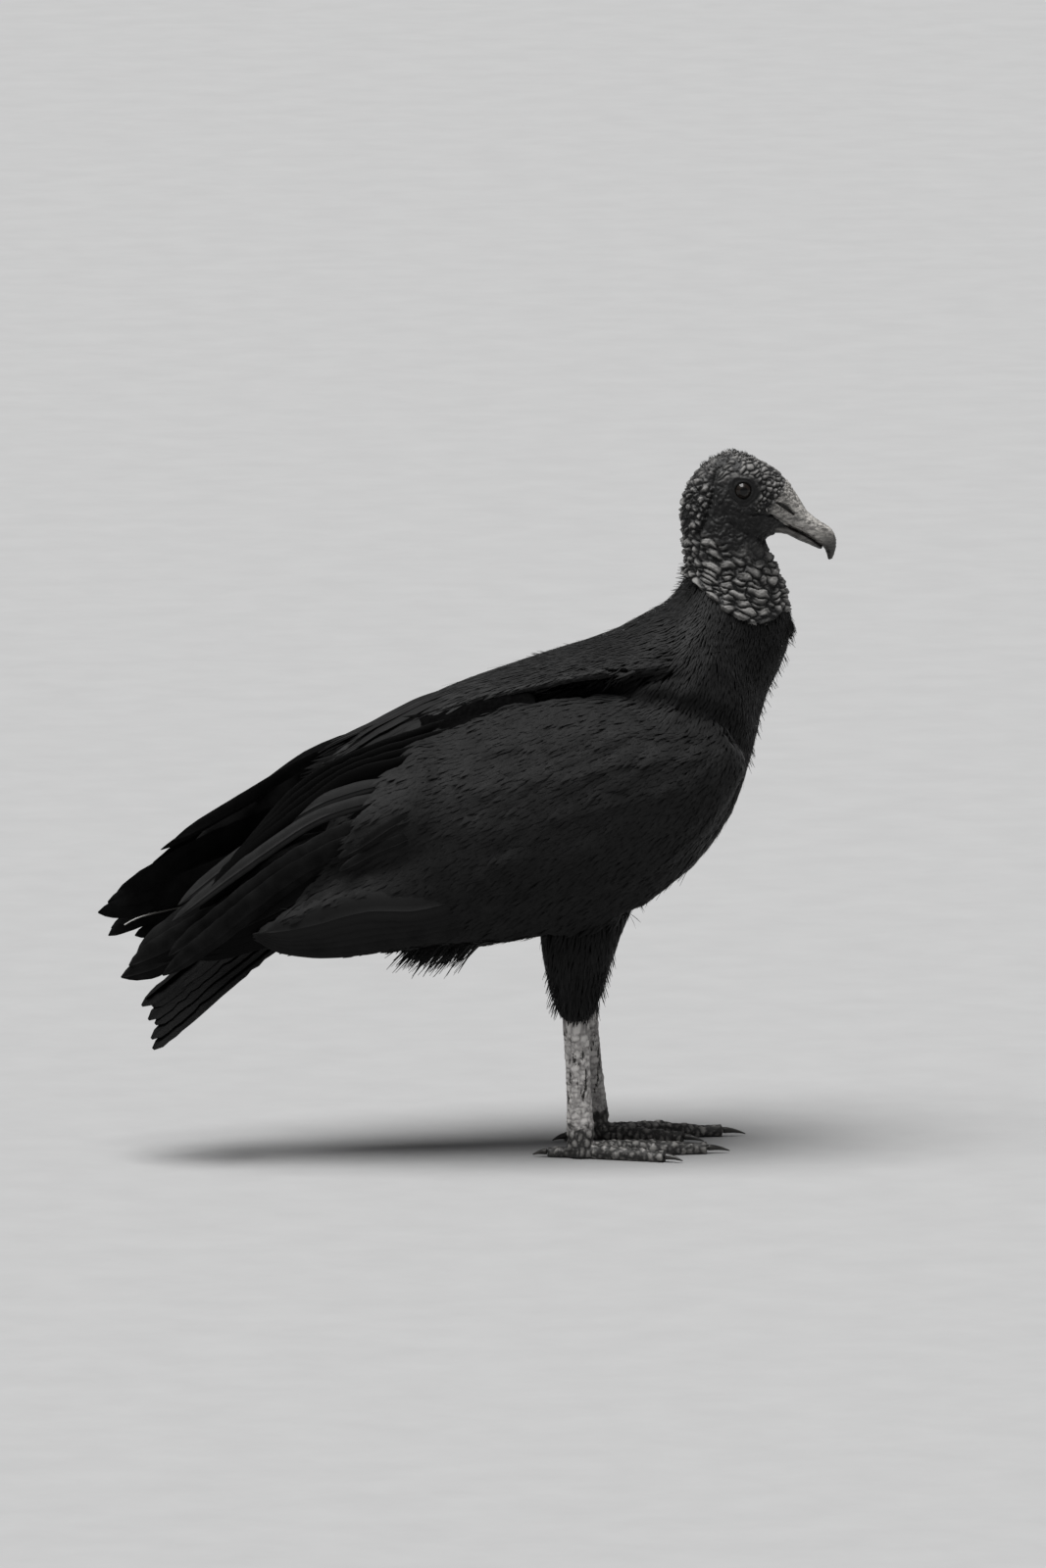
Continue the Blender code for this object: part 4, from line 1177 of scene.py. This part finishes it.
def horn(made, part):
    """Gives one half of the bill its grooves, its grain and its tones."""
    apply(made, "DISPLACE", strength=SWELL, mid_level=0)
    apply(made, "REMESH", mode="VOXEL", voxel_size=BILL_GRAIN)
    apply(made, "SMOOTH", factor=0.5, iterations=3)
    points, out = points_of(made), normals_of(made)
    x, y, z = points.T
    ahead = past_cere(points)
    flakes = bumps(np.stack([x + z, y, z - x], axis=1), (0.0024, 0.0024, 0.0012), 33)
    wart = smoothstep(0.020, 0.004, ahead) * 0.0011 * bumps(points, (0.0032, 0.0026, 0.0026), 31)
    wart = wart + 0.0004 * flakes * smoothstep(0.004, 0.012, ahead)
    mouth, slit = jaw_lines(points)
    # painted shade: the mouth line and the open nostrils are darkened on the horn
    dark = 0.35 * smoothstep(0.018, 0.002, ahead) + 0.7 * mouth
    dark = dark + 0.90 * smoothstep(0.400, 0.380, z) * smoothstep(0.222, 0.231, x)
    if part == "upper":
        sunk = 0.0022 * slit + 0.0006 * mouth + 0.0020 * smoothstep(0.0012, -0.0020, ahead)
        dark = dark + slit
    else:
        sunk = 0.0005 * mouth
        points[:, 0] -= 0.004 * smoothstep(0.205, 0.198, x)
        dark = dark + 0.75
    move_to(made, points + out * (wart - sunk)[:, None])
    store(made, "dark", np.clip(dark, 0, 1))
    finish_piece(made, bill_horn)
    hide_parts(f"bill_{part}")
    rounded(made)


def eyes():
    for side, sign in SIDES:
        bpy.ops.mesh.primitive_uv_sphere_add(
            segments=48, ring_count=32, radius=EYE_RADIUS, location=(EYE[0], sign * EYE[1], EYE[2]),
            rotation=(math.pi / 2, 0, 0))
        made = bpy.context.object
        made.name = made.data.name = f"eyeball_{side}"
        bpy.ops.object.transform_apply(location=True, rotation=True, scale=True)
        # the cornea swells a little over the iris
        points = points_of(made)
        swell = sign * 0.0004 * smoothstep(0.0040, 0.0022, from_eye(points))
        points[:, 1] += swell * (points[:, 1] * sign > EYE[1])
        move_to(made, points)
        finish_piece(made, eye_shine)
        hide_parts(f"eye_{side}")
        rounded(made)


def claws():
    for side, _ in SIDES:
        for toe in TOES:
            made = copy_of(f"nail_{side}_{toe}", [f"claw_{side}_{toe}"])
            apply(made, "SUBSURF", levels=2, render_levels=2)
            store(made, "dark", np.zeros(len(made.data.vertices)))
            finish_piece(made, claw_horn)
            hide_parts(f"claw_{side}_{toe}")
            rounded(made)


# ---------------------------------------------------------------- the long feathers

# The near wing seen from the side. Each group's feathers lie between two lines, the lowest first. After the
# lines come how many feathers, their half width, how far out from the solid the first lies, how much further
# each next one, and how pale they are. The paleness is painted light and shade: the paler groups (upper,
# scapulars, secondaries) stand for the lit bands, and top, middle and far are darkened as the parts in shade.
WING_FEATHERS = {
    "primaries": (
        [(-0.070, 0.196), (-0.120, 0.172), (-0.170, 0.143), (-0.203, 0.127), (-0.2240, 0.1195)],
        [(-0.060, 0.214), (-0.110, 0.199), (-0.160, 0.171), (-0.192, 0.149), (-0.2140, 0.1340)],
        3, 0.0100, -0.0012, 0.0006, 0.3),
    "top": (
        [(0.004, 0.264), (-0.040, 0.254), (-0.080, 0.243), (-0.110, 0.221), (-0.135, 0.201),
         (-0.160, 0.178), (-0.176, 0.163)],
        [(0.010, 0.285), (-0.030, 0.271), (-0.058, 0.259), (-0.080, 0.251), (-0.108, 0.235),
         (-0.132, 0.209), (-0.157, 0.184), (-0.172, 0.169)],
        4, 0.0090, -0.0030, 0.0003, -0.9),
    "middle": (
        [(0.010, 0.178), (-0.060, 0.170), (-0.105, 0.158), (-0.150, 0.142), (-0.178, 0.1310)],
        [(0.010, 0.206), (-0.060, 0.198), (-0.100, 0.188), (-0.140, 0.164), (-0.165, 0.150)],
        5, 0.0090, -0.0050, 0.0003, -0.9),
    "tertials": (
        [(-0.020, 0.217), (-0.062, 0.211), (-0.090, 0.203), (-0.119, 0.1865), (-0.137, 0.1725),
         (-0.170, 0.147), (-0.2020, 0.1240)],
        [(-0.020, 0.228), (-0.062, 0.221), (-0.090, 0.211), (-0.119, 0.1945), (-0.137, 0.1805),
         (-0.170, 0.154), (-0.1960, 0.1340)],
        2, 0.0085, -0.0006, 0.0006, 0.35),
    "upper": (
        [(-0.020, 0.244), (-0.070, 0.235), (-0.098, 0.225), (-0.114, 0.216), (-0.135, 0.2005),
         (-0.156, 0.185), (-0.170, 0.174), (-0.1930, 0.1550)],
        [(-0.020, 0.250), (-0.070, 0.243), (-0.098, 0.232), (-0.114, 0.2225), (-0.135, 0.207),
         (-0.156, 0.191), (-0.170, 0.180), (-0.1880, 0.1640)],
        2, 0.0050, 0.0016, 0.0004, 1.0),
    "scapulars": (
        [(0.010, 0.290), (-0.030, 0.2760), (-0.062, 0.2640), (-0.0950, 0.2500)],
        [(0.010, 0.302), (-0.017, 0.2930), (-0.048, 0.2800), (-0.0850, 0.2600)],
        4, 0.0060, 0.0010, 0.0004, 1.1),
    "secondaries": (
        [(0.040, 0.158), (-0.009, 0.155), (-0.041, 0.151), (-0.078, 0.143), (-0.107, 0.141),
         (-0.128, 0.143), (-0.1440, 0.1485)],
        [(0.014, 0.190), (-0.023, 0.172), (-0.048, 0.167), (-0.071, 0.168), (-0.087, 0.165),
         (-0.110, 0.157), (-0.1380, 0.1500)],
        6, 0.0095, -0.0002, 0.0006, 0.9),
    "fingers": (
        [(-0.028, 0.218), (-0.048, 0.212), (-0.068, 0.2035), (-0.082, 0.1955), (-0.0920, 0.1905)],
        [(-0.022, 0.240), (-0.042, 0.230), (-0.062, 0.218), (-0.080, 0.205), (-0.0920, 0.1975)],
        2, 0.0046, 0.0012, 0.0002, 0.45),
    "far_low": (
        [(-0.090, 0.185), (-0.130, 0.168), (-0.165, 0.152), (-0.190, 0.145), (-0.2080, 0.1390)],
        [(-0.080, 0.200), (-0.120, 0.180), (-0.155, 0.161), (-0.182, 0.156), (-0.208, 0.1505),
         (-0.2250, 0.1395)],
        2, 0.0075, -0.0012, 0.0004, -0.2),
    "far": (
        [(-0.078, 0.210), (-0.120, 0.190), (-0.155, 0.172), (-0.190, 0.158), (-0.2230, 0.1440)],
        [(-0.070, 0.235), (-0.120, 0.219), (-0.160, 0.200), (-0.186, 0.1860), (-0.2040, 0.1710)],
        4, 0.0085, 0.0008, 0.0005, -0.6),
}
LEFT_ONLY = ("far_low", "far")  # the left wing's tip is spread a little
# The solids a group lies on, where they aren't its own, and the group it moves with on the left wing.
LIES_ON = {
    "top": "tertials", "scapulars": "back", "upper": "tertials", "middle": "wing", "fingers": "wing",
    "far_low": "primaries", "far": "wing",
}
MOVED_WITH = {"top": "tertials", "upper": "tertials", "middle": "tertials", "fingers": "tertials"}
LIFTS = {"tertials": (math.radians(11), 0.024), "primaries": (math.radians(10), 0.016)}  # turn, slide
WING_PIVOT = (-0.085, 0.255)
WING_SLOPE = math.radians(44)
# the left wing's top group lies lower and carries less of the painted shade that darkens it on the right
LEFT_TOP_DROP, LEFT_TOP_LESS_SHADE = 0.009, 0.8
BURIED = {"top": 0.0035, "fingers": 0.011, "middle": 0.014, "secondaries": 0.009, "scapulars": 0.004}
BURIED_ELSE = 0.0055  # how deep the bases of the other groups lie
LONG_STEPS = 40
LONG_AT, LONG_WIDTH = [0.0, 0.10, 0.30, 0.75, 0.90, 0.965, 1.0], [0.10, 0.55, 1.0, 0.97, 0.78, 0.48, 0.05]
SCAPULAR_AT, SCAPULAR_WIDTH = [0, 0.25, 0.45, 0.65, 1], [0.05, 0.5, 1.0, 0.95, 0.06]
LONG_THICK = 0.0007
CLEAR_OUT = 0.03  # how far out a feather lies that passes clear of its solid
WING_OUT = 0.055
SHAFT_OUT, SHAFT_HALF, SHAFT_THICK = 0.0006, 0.00055, 0.0008


def turned(points, part, sign):
    """Side-view points (x, z) of a group. The left wing's tip is held higher than the right one's."""
    if sign < 0:
        return points
    angle, drawn_in = LIFTS.get(MOVED_WITH.get(part, part), (0, 0))
    slide = np.array([math.cos(WING_SLOPE), math.sin(WING_SLOPE)]) * drawn_in
    cos, sin = math.cos(angle), math.sin(angle)
    return (points - WING_PIVOT) @ np.array([[cos, -sin], [sin, cos]]) + WING_PIVOT + slide


def strips(count):
    """A strip of the bake map for each long feather."""
    edges = np.linspace(0, 1, count + 1)
    return np.stack([(edges[:-1] + edges[1:]) / 2, np.full(count, 0.5)], axis=1)


def rough_edge(count, deep, every):
    """Small notches along the edges of long feathers."""
    return 1 - rng.random((count, LONG_STEPS)) ** every * deep


def on_wing(flat, plate, part, sign):
    """Side-view lines laid on the outer side of the wing, with normals."""
    share = np.linspace(0, 1, LONG_STEPS)
    line, up = np.empty((2, len(flat), LONG_STEPS, 3))
    for k, (x, z) in enumerate(flat.transpose(0, 2, 1)):
        y = plate.from_side(x, z, sign)
        known = ~np.isnan(y)
        if part == "middle":
            guess = np.stack([x, np.full(LONG_STEPS, sign * WING_OUT), z], axis=1)
            y = np.where(known, y, plate.nearest(guess)[0][:, 1])
            known[:] = True
        y = np.interp(share, share[known], y[known]) if known.any() else np.full(LONG_STEPS, sign * CLEAR_OUT)
        y = np.convolve(np.pad(y, 4, mode="edge"), np.ones(9) / 9, mode="valid")
        line[k] = np.stack([x, y, z], axis=1)
        _, normal, _ = plate.nearest(line[k])
        outward = np.where((normal[:, 1] * sign > 0.3)[:, None], normal, [0, sign, 0.2])
        up[k] = unit(0.6 * unit(outward.mean(axis=0)) + 0.4 * np.array([0, sign, 0.15]))
    if part == "top":
        up[:] = unit(np.array([0.0, sign, -0.15]))
    return line, up


def on_back(flat, plate, sign):
    """Side-view lines laid over the shoulder, with normals."""
    reach = np.linspace(0.030, 0.006, len(flat))[:, None] * np.ones(LONG_STEPS)
    guess = np.stack([flat[..., 0], sign * reach, flat[..., 1]], axis=-1).reshape(-1, 3)
    line, normal, _ = plate.nearest(guess)
    line, normal = line.reshape(-1, LONG_STEPS, 3), normal.reshape(-1, LONG_STEPS, 3)
    line[:, 2:-2] = (line[:, :-4] + line[:, 1:-3] + line[:, 2:-2] + line[:, 3:-1] + line[:, 4:]) / 5
    return line, unit(normal.mean(axis=1) + [0, 0, 0.5])[:, None] * np.ones((LONG_STEPS, 1))


def wing_quills(side, sign, part):
    """The feathers of one group: their lines, normals, half widths and tints."""
    lower, upper, count, half, first, step, pale = WING_FEATHERS[part]
    share = np.linspace(0, 1, LONG_STEPS)
    rung = np.linspace(0, 1, count)[:, None, None]
    flat = along_line(lower, LONG_STEPS) * (1 - rung) + along_line(upper, LONG_STEPS) * rung
    flat = turned(flat.reshape(-1, 2), part, sign).reshape(count, LONG_STEPS, 2)
    if part == "top" and sign > 0:
        flat[..., 1] -= LEFT_TOP_DROP
        pale += LEFT_TOP_LESS_SHADE
    plate = plates[side][LIES_ON.get(part, part)]
    line, up = on_back(flat, plate, sign) if part == "scapulars" else on_wing(flat, plate, part, sign)
    sunk = BURIED.get(part, BURIED_ELSE) * smoothstep(0.45, 0.05, share)
    line = line + up * ((first + step * np.arange(count))[:, None] - sunk)[..., None]
    widths = half * np.interp(share, LONG_AT, LONG_WIDTH) * rough_edge(count, 0.10, 5)
    if part == "scapulars":
        widths = half * np.interp(share, SCAPULAR_AT, SCAPULAR_WIDTH) * np.ones((count, 1))
    # painted highlight: the upper secondaries, along the lit rim of the lobe, are paler
    if part == "secondaries":
        pale = pale + 0.8 * np.linspace(0, 1, count) ** 3
    return line, up, widths, pale + rng.uniform(-0.15, 0.2, count)


def long_feathers(side, sign):
    """The long feathers of one wing, and the pale shaft on the inner face of its outermost feather."""
    parts = [part for part in WING_FEATHERS if sign > 0 or part not in LEFT_ONLY]
    groups = zip(*(wing_quills(side, sign, part) for part in parts))
    line, up, half, tint = (np.concatenate(group) for group in groups)
    profile = PLATE_QUILL if sign < 0 else [(-a, b) for a, b in PLATE_QUILL][::-1]
    made = build_feathers(f"flight_{side}", line, up, half, strips(len(line)), profile, LONG_THICK,
                          bow=0.10, tint=tint, strip=True)
    finish_piece(made, flight)
    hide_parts(*(f"wing_{side}_{part}" for part in PLATE_PARTS))
    line, up, _, _ = wing_quills(side, sign, "far_low" if sign > 0 else "primaries")
    reach = slice(LONG_STEPS // 2, LONG_STEPS - 3)
    line, up = line[-1:, reach], -up[-1:, reach]
    half = np.full((1, line.shape[1]), SHAFT_HALF)
    line = line + up * SHAFT_OUT
    made = build_feathers(f"shaft_{side}", line, up, half, strips(1), VANE, SHAFT_THICK, strip=True)
    finish_piece(made, shaft_pale)


TAIL_LINE = [  # x, top, half width, drop of the edges
    (-0.0600, 0.2080, 0.0150, 0.0030), (-0.0900, 0.1850, 0.0190, 0.0050), (-0.1200, 0.1640, 0.0220, 0.0070),
    (-0.1620, 0.1350, 0.0260, 0.0090), (-0.2080, 0.0985, 0.0290, 0.0105),
]
TAIL_COUNT = 12
TAIL_START, TAIL_END = -0.045, -0.2095
TAIL_ROLL = 0.34
TAIL_LAYERS = 0.0100  # how far the middle pair lies over the outermost feathers
TAIL_HALF = 0.0062
TAIL_AT, TAIL_WIDTH = [0, 0.2, 0.92, 0.975, 1], [0.5, 0.95, 1.05, 0.8, 0.25]


def tail():
    """Twelve tail feathers, the middle pair on top."""
    x, top, width, drop = np.array(TAIL_LINE).T
    lines, ups = [], []
    for share in np.linspace(-1, 1, TAIL_COUNT):
        end = TAIL_END + 0.008 * max(share, 0) + rng.uniform(0, 0.008)
        run = np.linspace(TAIL_START, end, LONG_STEPS)
        high = np.interp(-run, -x, top) - np.interp(-run, -x, drop) * abs(share) ** 1.6
        across = share * np.interp(-run, -x, width) * 0.84
        layer = TAIL_LAYERS * (1 - abs(share)) - 0.0035
        lines.append(np.stack([run, across, high + TAIL_ROLL * across - 0.0042 + layer], axis=1))
        lean = (-0.16 * share if share < 0 else 0.46) - TAIL_ROLL
        ups.append(np.tile(unit(np.array([0.55, lean, 1.0])), (LONG_STEPS, 1)))
    half = TAIL_HALF * np.interp(np.linspace(0, 1, LONG_STEPS), TAIL_AT, TAIL_WIDTH)
    half = half * rough_edge(TAIL_COUNT, 0.30, 6)
    # painted shade: the tail feathers are tinted darker than the wing's, for the shade of the wings over them
    made = build_feathers("tail_feathers", np.array(lines), np.array(ups), half, strips(TAIL_COUNT), QUILL,
                          LONG_THICK, bow=0.05, tint=rng.uniform(-1.5, -0.5, TAIL_COUNT), strip=True)
    finish_piece(made, flight)
    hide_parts("tail")


# ---------------------------------------------------------------- loose hairs and plumes

# Where they grow, seen from the side: the line, then greatest |y|, aim, length from and to, half width, how
# many and droop.
WISPS = {
    "vent": ([(-0.030, 0.143), (-0.012, 0.140), (0.008, 0.138)],
             0.030, (-0.84, 0.0, -0.54), 0.014, 0.028, 0.0013, 380, 0.1),
    "breast": ([(0.209, 0.331), (0.196, 0.298), (0.186, 0.270), (0.181, 0.245)],
               0.016, (0.42, 0.0, -0.90), 0.004, 0.008, 0.0004, 150, 0.1),
    "throat": ([(0.208, 0.3400), (0.203, 0.3300)],
               0.020, (0.30, 0.0, -0.95), 0.006, 0.010, 0.0005, 110, 0.1),
    "ruff": ([(0.1375, 0.3730), (0.1395, 0.3660), (0.1340, 0.3560)],
             0.020, (-0.90, 0.0, 0.05), 0.003, 0.007, 0.0004, 60, 0.1),
    "back": ([(0.058, 0.3180), (0.049, 0.3150)],
             0.012, (-0.92, 0.0, 0.20), 0.008, 0.014, 0.0004, 14, 0.1),
    "crown": ([(0.1500, 0.4330), (0.1570, 0.4390), (0.1715, 0.4435), (0.1850, 0.4400)],
              0.014, (-0.35, 0.0, 0.94), 0.0018, 0.0034, 0.00009, 560, 0.0),
    "nape": ([(0.1380, 0.3850), (0.1375, 0.4010), (0.1400, 0.4170), (0.1480, 0.4310)],
             0.016, (-0.95, 0.0, 0.15), 0.0012, 0.0024, 0.00009, 260, 0.0),
    "belly": ([(0.150, 0.186), (0.120, 0.163), (0.095, 0.148)],
              0.030, (-0.75, 0.0, -0.66), 0.008, 0.013, 0.0005, 120, 0.1),
}
WISP_STEPS = 5
WISP_THICK = 0.0003
BARE_ABOVE = 0.37  # rows that lie higher than this grow on the bare head
HEM_COUNT = 170
HEM_HALF = 0.0006


def wisp_row(row):
    """The hairs of one row: lines, normals, half widths and places on the bake map."""
    line, wide, aim, shortest, longest, half, count, droop = row
    share = np.linspace(0, 1, WISP_STEPS)
    place = along_line(line, 64)[rng.integers(0, 64, count)]
    start = np.stack([place[:, 0], rng.uniform(-1, 1, count) * wide, place[:, 1]], axis=1)
    surface = skin_ground if start[:, 2].mean() > BARE_ABOVE else ground
    root, up, face = surface.nearest(start)
    lengths = rng.uniform(shortest, longest, count)
    ahead = unit(np.array(aim) + rng.normal(0, 0.14, (count, 3)) + 0.35 * up * [0.3, 1, 0.3])
    path = root[:, None] - up[:, None] * 0.0012 + ahead[:, None] * (lengths[:, None] * share)[..., None]
    path[..., 2] -= droop * lengths[:, None] * share**2
    ups = np.repeat(flatten(up, ahead)[:, None], WISP_STEPS, axis=1)
    halves = half * np.interp(share, [0, 0.5, 1], [1.0, 0.8, 0.15]) * rng.uniform(0.7, 1.2, (count, 1))
    return path, ups, halves, patches_of(surface, face)


def thigh_hem(side):
    """The hairs that hang from the lower edge of a thigh, as wisp_row gives them."""
    share = np.linspace(0, 1, WISP_STEPS)
    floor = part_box(f"thigh_{side}")[0][2]
    turn = rng.uniform(0, 2 * math.pi, HEM_COUNT)
    tall = rng.uniform(0, 1, HEM_COUNT) ** 1.5
    points = points_of(nodes[f"thigh_{side}"])
    centre = points[points[:, 2] < floor + 0.004].mean(axis=0)
    ring = np.stack([centre[0] + 0.03 * np.cos(turn), centre[1] + 0.03 * np.sin(turn)])
    root, up, _ = ground.nearest(np.stack([*ring, floor + 0.003 + 0.030 * tall], axis=1))
    down_and_out = np.stack([0.30 * up[:, 0] - 0.06, 0.30 * up[:, 1], 0 * turn - 1], axis=1)
    aim = unit(down_and_out + rng.normal(0, 0.08, (HEM_COUNT, 3)))
    root = root - up * 0.0008
    lengths = rng.uniform(0.006, 0.011, HEM_COUNT)
    path = root[:, None] + aim[:, None] * (lengths[:, None] * share)[..., None]
    out = unit(root - root.mean(axis=0)) * [1, 1, 0] + [0, 0, 1e-4]
    ups = np.repeat(flatten(out, aim)[:, None], WISP_STEPS, axis=1)
    halves = HEM_HALF * np.interp(share, [0, 0.5, 1], [1.0, 0.8, 0.1]) * np.ones((HEM_COUNT, 1))
    return path, ups, halves, patches_of(ground, ground.nearest(root)[2])


def wisps():
    """Loose hairs and plumes that break the outline, all in one piece."""
    rows = [wisp_row(row) for row in WISPS.values()] + [thigh_hem(side) for side, _ in SIDES]
    line, up, half, patch = (np.concatenate(group) for group in zip(*rows))
    made = build_feathers("wisps", line, up, half, patch, VANE, WISP_THICK)
    finish_piece(made, plumage)


# ---------------------------------------------------------------- room, light and camera

LIGHT_FROM = (-0.22, -0.14, 1.0)
AIM = Vector((0.036, 0.0, 0.234))
AZIMUTH, HEIGHT = math.radians(-10), math.radians(8)
FAR = 15.0
FRAME_HEIGHT = 0.992


def room():
    only()
    bpy.ops.mesh.primitive_plane_add(size=1, location=(0, 0, -0.0004))
    floor = bpy.context.object
    floor.name = "floor"
    floor.scale = (300, 300, 1)
    bpy.ops.object.transform_apply(location=True, rotation=True, scale=True)
    made, tree, shader = finish("pale_floor", roughness=0.9, specular_ior_level=0.1)
    colour = blend_colours(tree, mottle(tree, 0.05), grey(0.285), grey(0.300))
    tree.links.new(colour, shader["Base Color"])
    floor.data.materials.append(made)

    world = bpy.data.worlds.new("studio")
    world.use_nodes = True
    tree = world.node_tree
    seen = add(tree, "LightPath").outputs["Is Camera Ray"]
    # dim where it lights the bird, brighter where it is seen as the backdrop
    strength = add(tree, "MapRange", {0: seen, 3: 0.20, 4: 0.59}).outputs[0]
    tree.nodes["Background"].inputs["Color"].default_value = (0.98, 0.98, 1.0, 1)
    tree.links.new(strength, tree.nodes["Background"].inputs["Strength"])
    bpy.context.scene.world = world
    light = bpy.data.lights.new("softbox", "SUN")
    light.energy, light.angle = 6.0, math.radians(44)
    lamp = bpy.data.objects.new("softbox", light)
    bpy.context.scene.collection.objects.link(lamp)
    lamp.rotation_euler = Vector(LIGHT_FROM).to_track_quat("Z", "Y").to_euler()


def camera():
    view = bpy.data.cameras.new("camera")
    view.sensor_fit, view.sensor_height, view.sensor_width = "VERTICAL", 36, 24
    view.lens = 36 * FAR / FRAME_HEIGHT
    view.clip_end = 400
    eye = bpy.data.objects.new("camera", view)
    bpy.context.scene.collection.objects.link(eye)
    level = math.cos(HEIGHT)
    back = Vector((math.sin(AZIMUTH) * level, -math.cos(AZIMUTH) * level, math.sin(HEIGHT)))
    eye.location = AIM + back * FAR
    eye.rotation_euler = (-back).to_track_quat("-Z", "Y").to_euler()
    bpy.context.scene.camera = eye
    bpy.context.scene.view_settings.view_transform = "Standard"


# ---------------------------------------------------------------- the bird

only()
fillings = [wing_filling(*pair) for pair in SIDES]
form = shell("form", FEATHERED + PLATES + ["neck_upper"], BODY_GRAIN, 3, filling=fillings)
kind_at = Kinds(FEATHERED + PLATES + ["neck_upper", "head"])
flesh = shell("flesh", FEATHERED, BODY_GRAIN, 3)
for obj in (form, flesh):
    shape_form(obj)
ground = Surface(unwrapped(form))
cape = unwrapped(shell("cape", ["mantle"], CAPE_GRAIN, 3))
# the front of the cape goes under the neck
front = smoothstep(0.078, 0.106, points_of(cape)[:, 0])[:, None]
drawn_in, let_down = np.array([0.0, 0.55, 0.0]) * front, np.array([0.0, 0.0, 0.014]) * front
move_to(cape, points_of(cape) * (1 - drawn_in) - let_down)
cape_ground = Surface(cape)
bpy.data.objects.remove(form)
plates = {}
for side, _ in SIDES:
    solids = [f"wing_{side}_{part}" for part in PLATE_PARTS]
    plates[side] = {part: plate_surface([solid]) for part, solid in zip(PLATE_PARTS, solids)}
    plates[side]["wing"] = plate_surface([f"wing_{side}_coverts"] + solids)
    plates[side]["back"] = plate_surface(["mantle", f"wing_{side}_tertials"])
skin_ground = one_skin(flesh, cape)
for part, made in (("upper", upper_bill()), ("lower", copy_of("bill_lower_horn", ["bill_lower"]))):
    horn(made, part)
eyes()
claws()
for side, sign in SIDES:
    long_feathers(side, sign)
tail()
coat("coat_neck", ground, ["neck_lower"])
for side, sign in SIDES:
    coat(f"coat_body_{side}", ground, ["trunk", "mantle_front"], half_body=sign)
coat("coat_mantle", cape_ground, ["mantle"])
for side, _ in SIDES:
    velvet = [f"wing_{side}_{part}" for part in ("coverts", "tertials", "secondaries")]
    coat(f"coat_wing_{side}", ground, velvet)
coat("coat_thighs", ground, ["thigh_right", "thigh_left"])
wisps()
room()
camera()
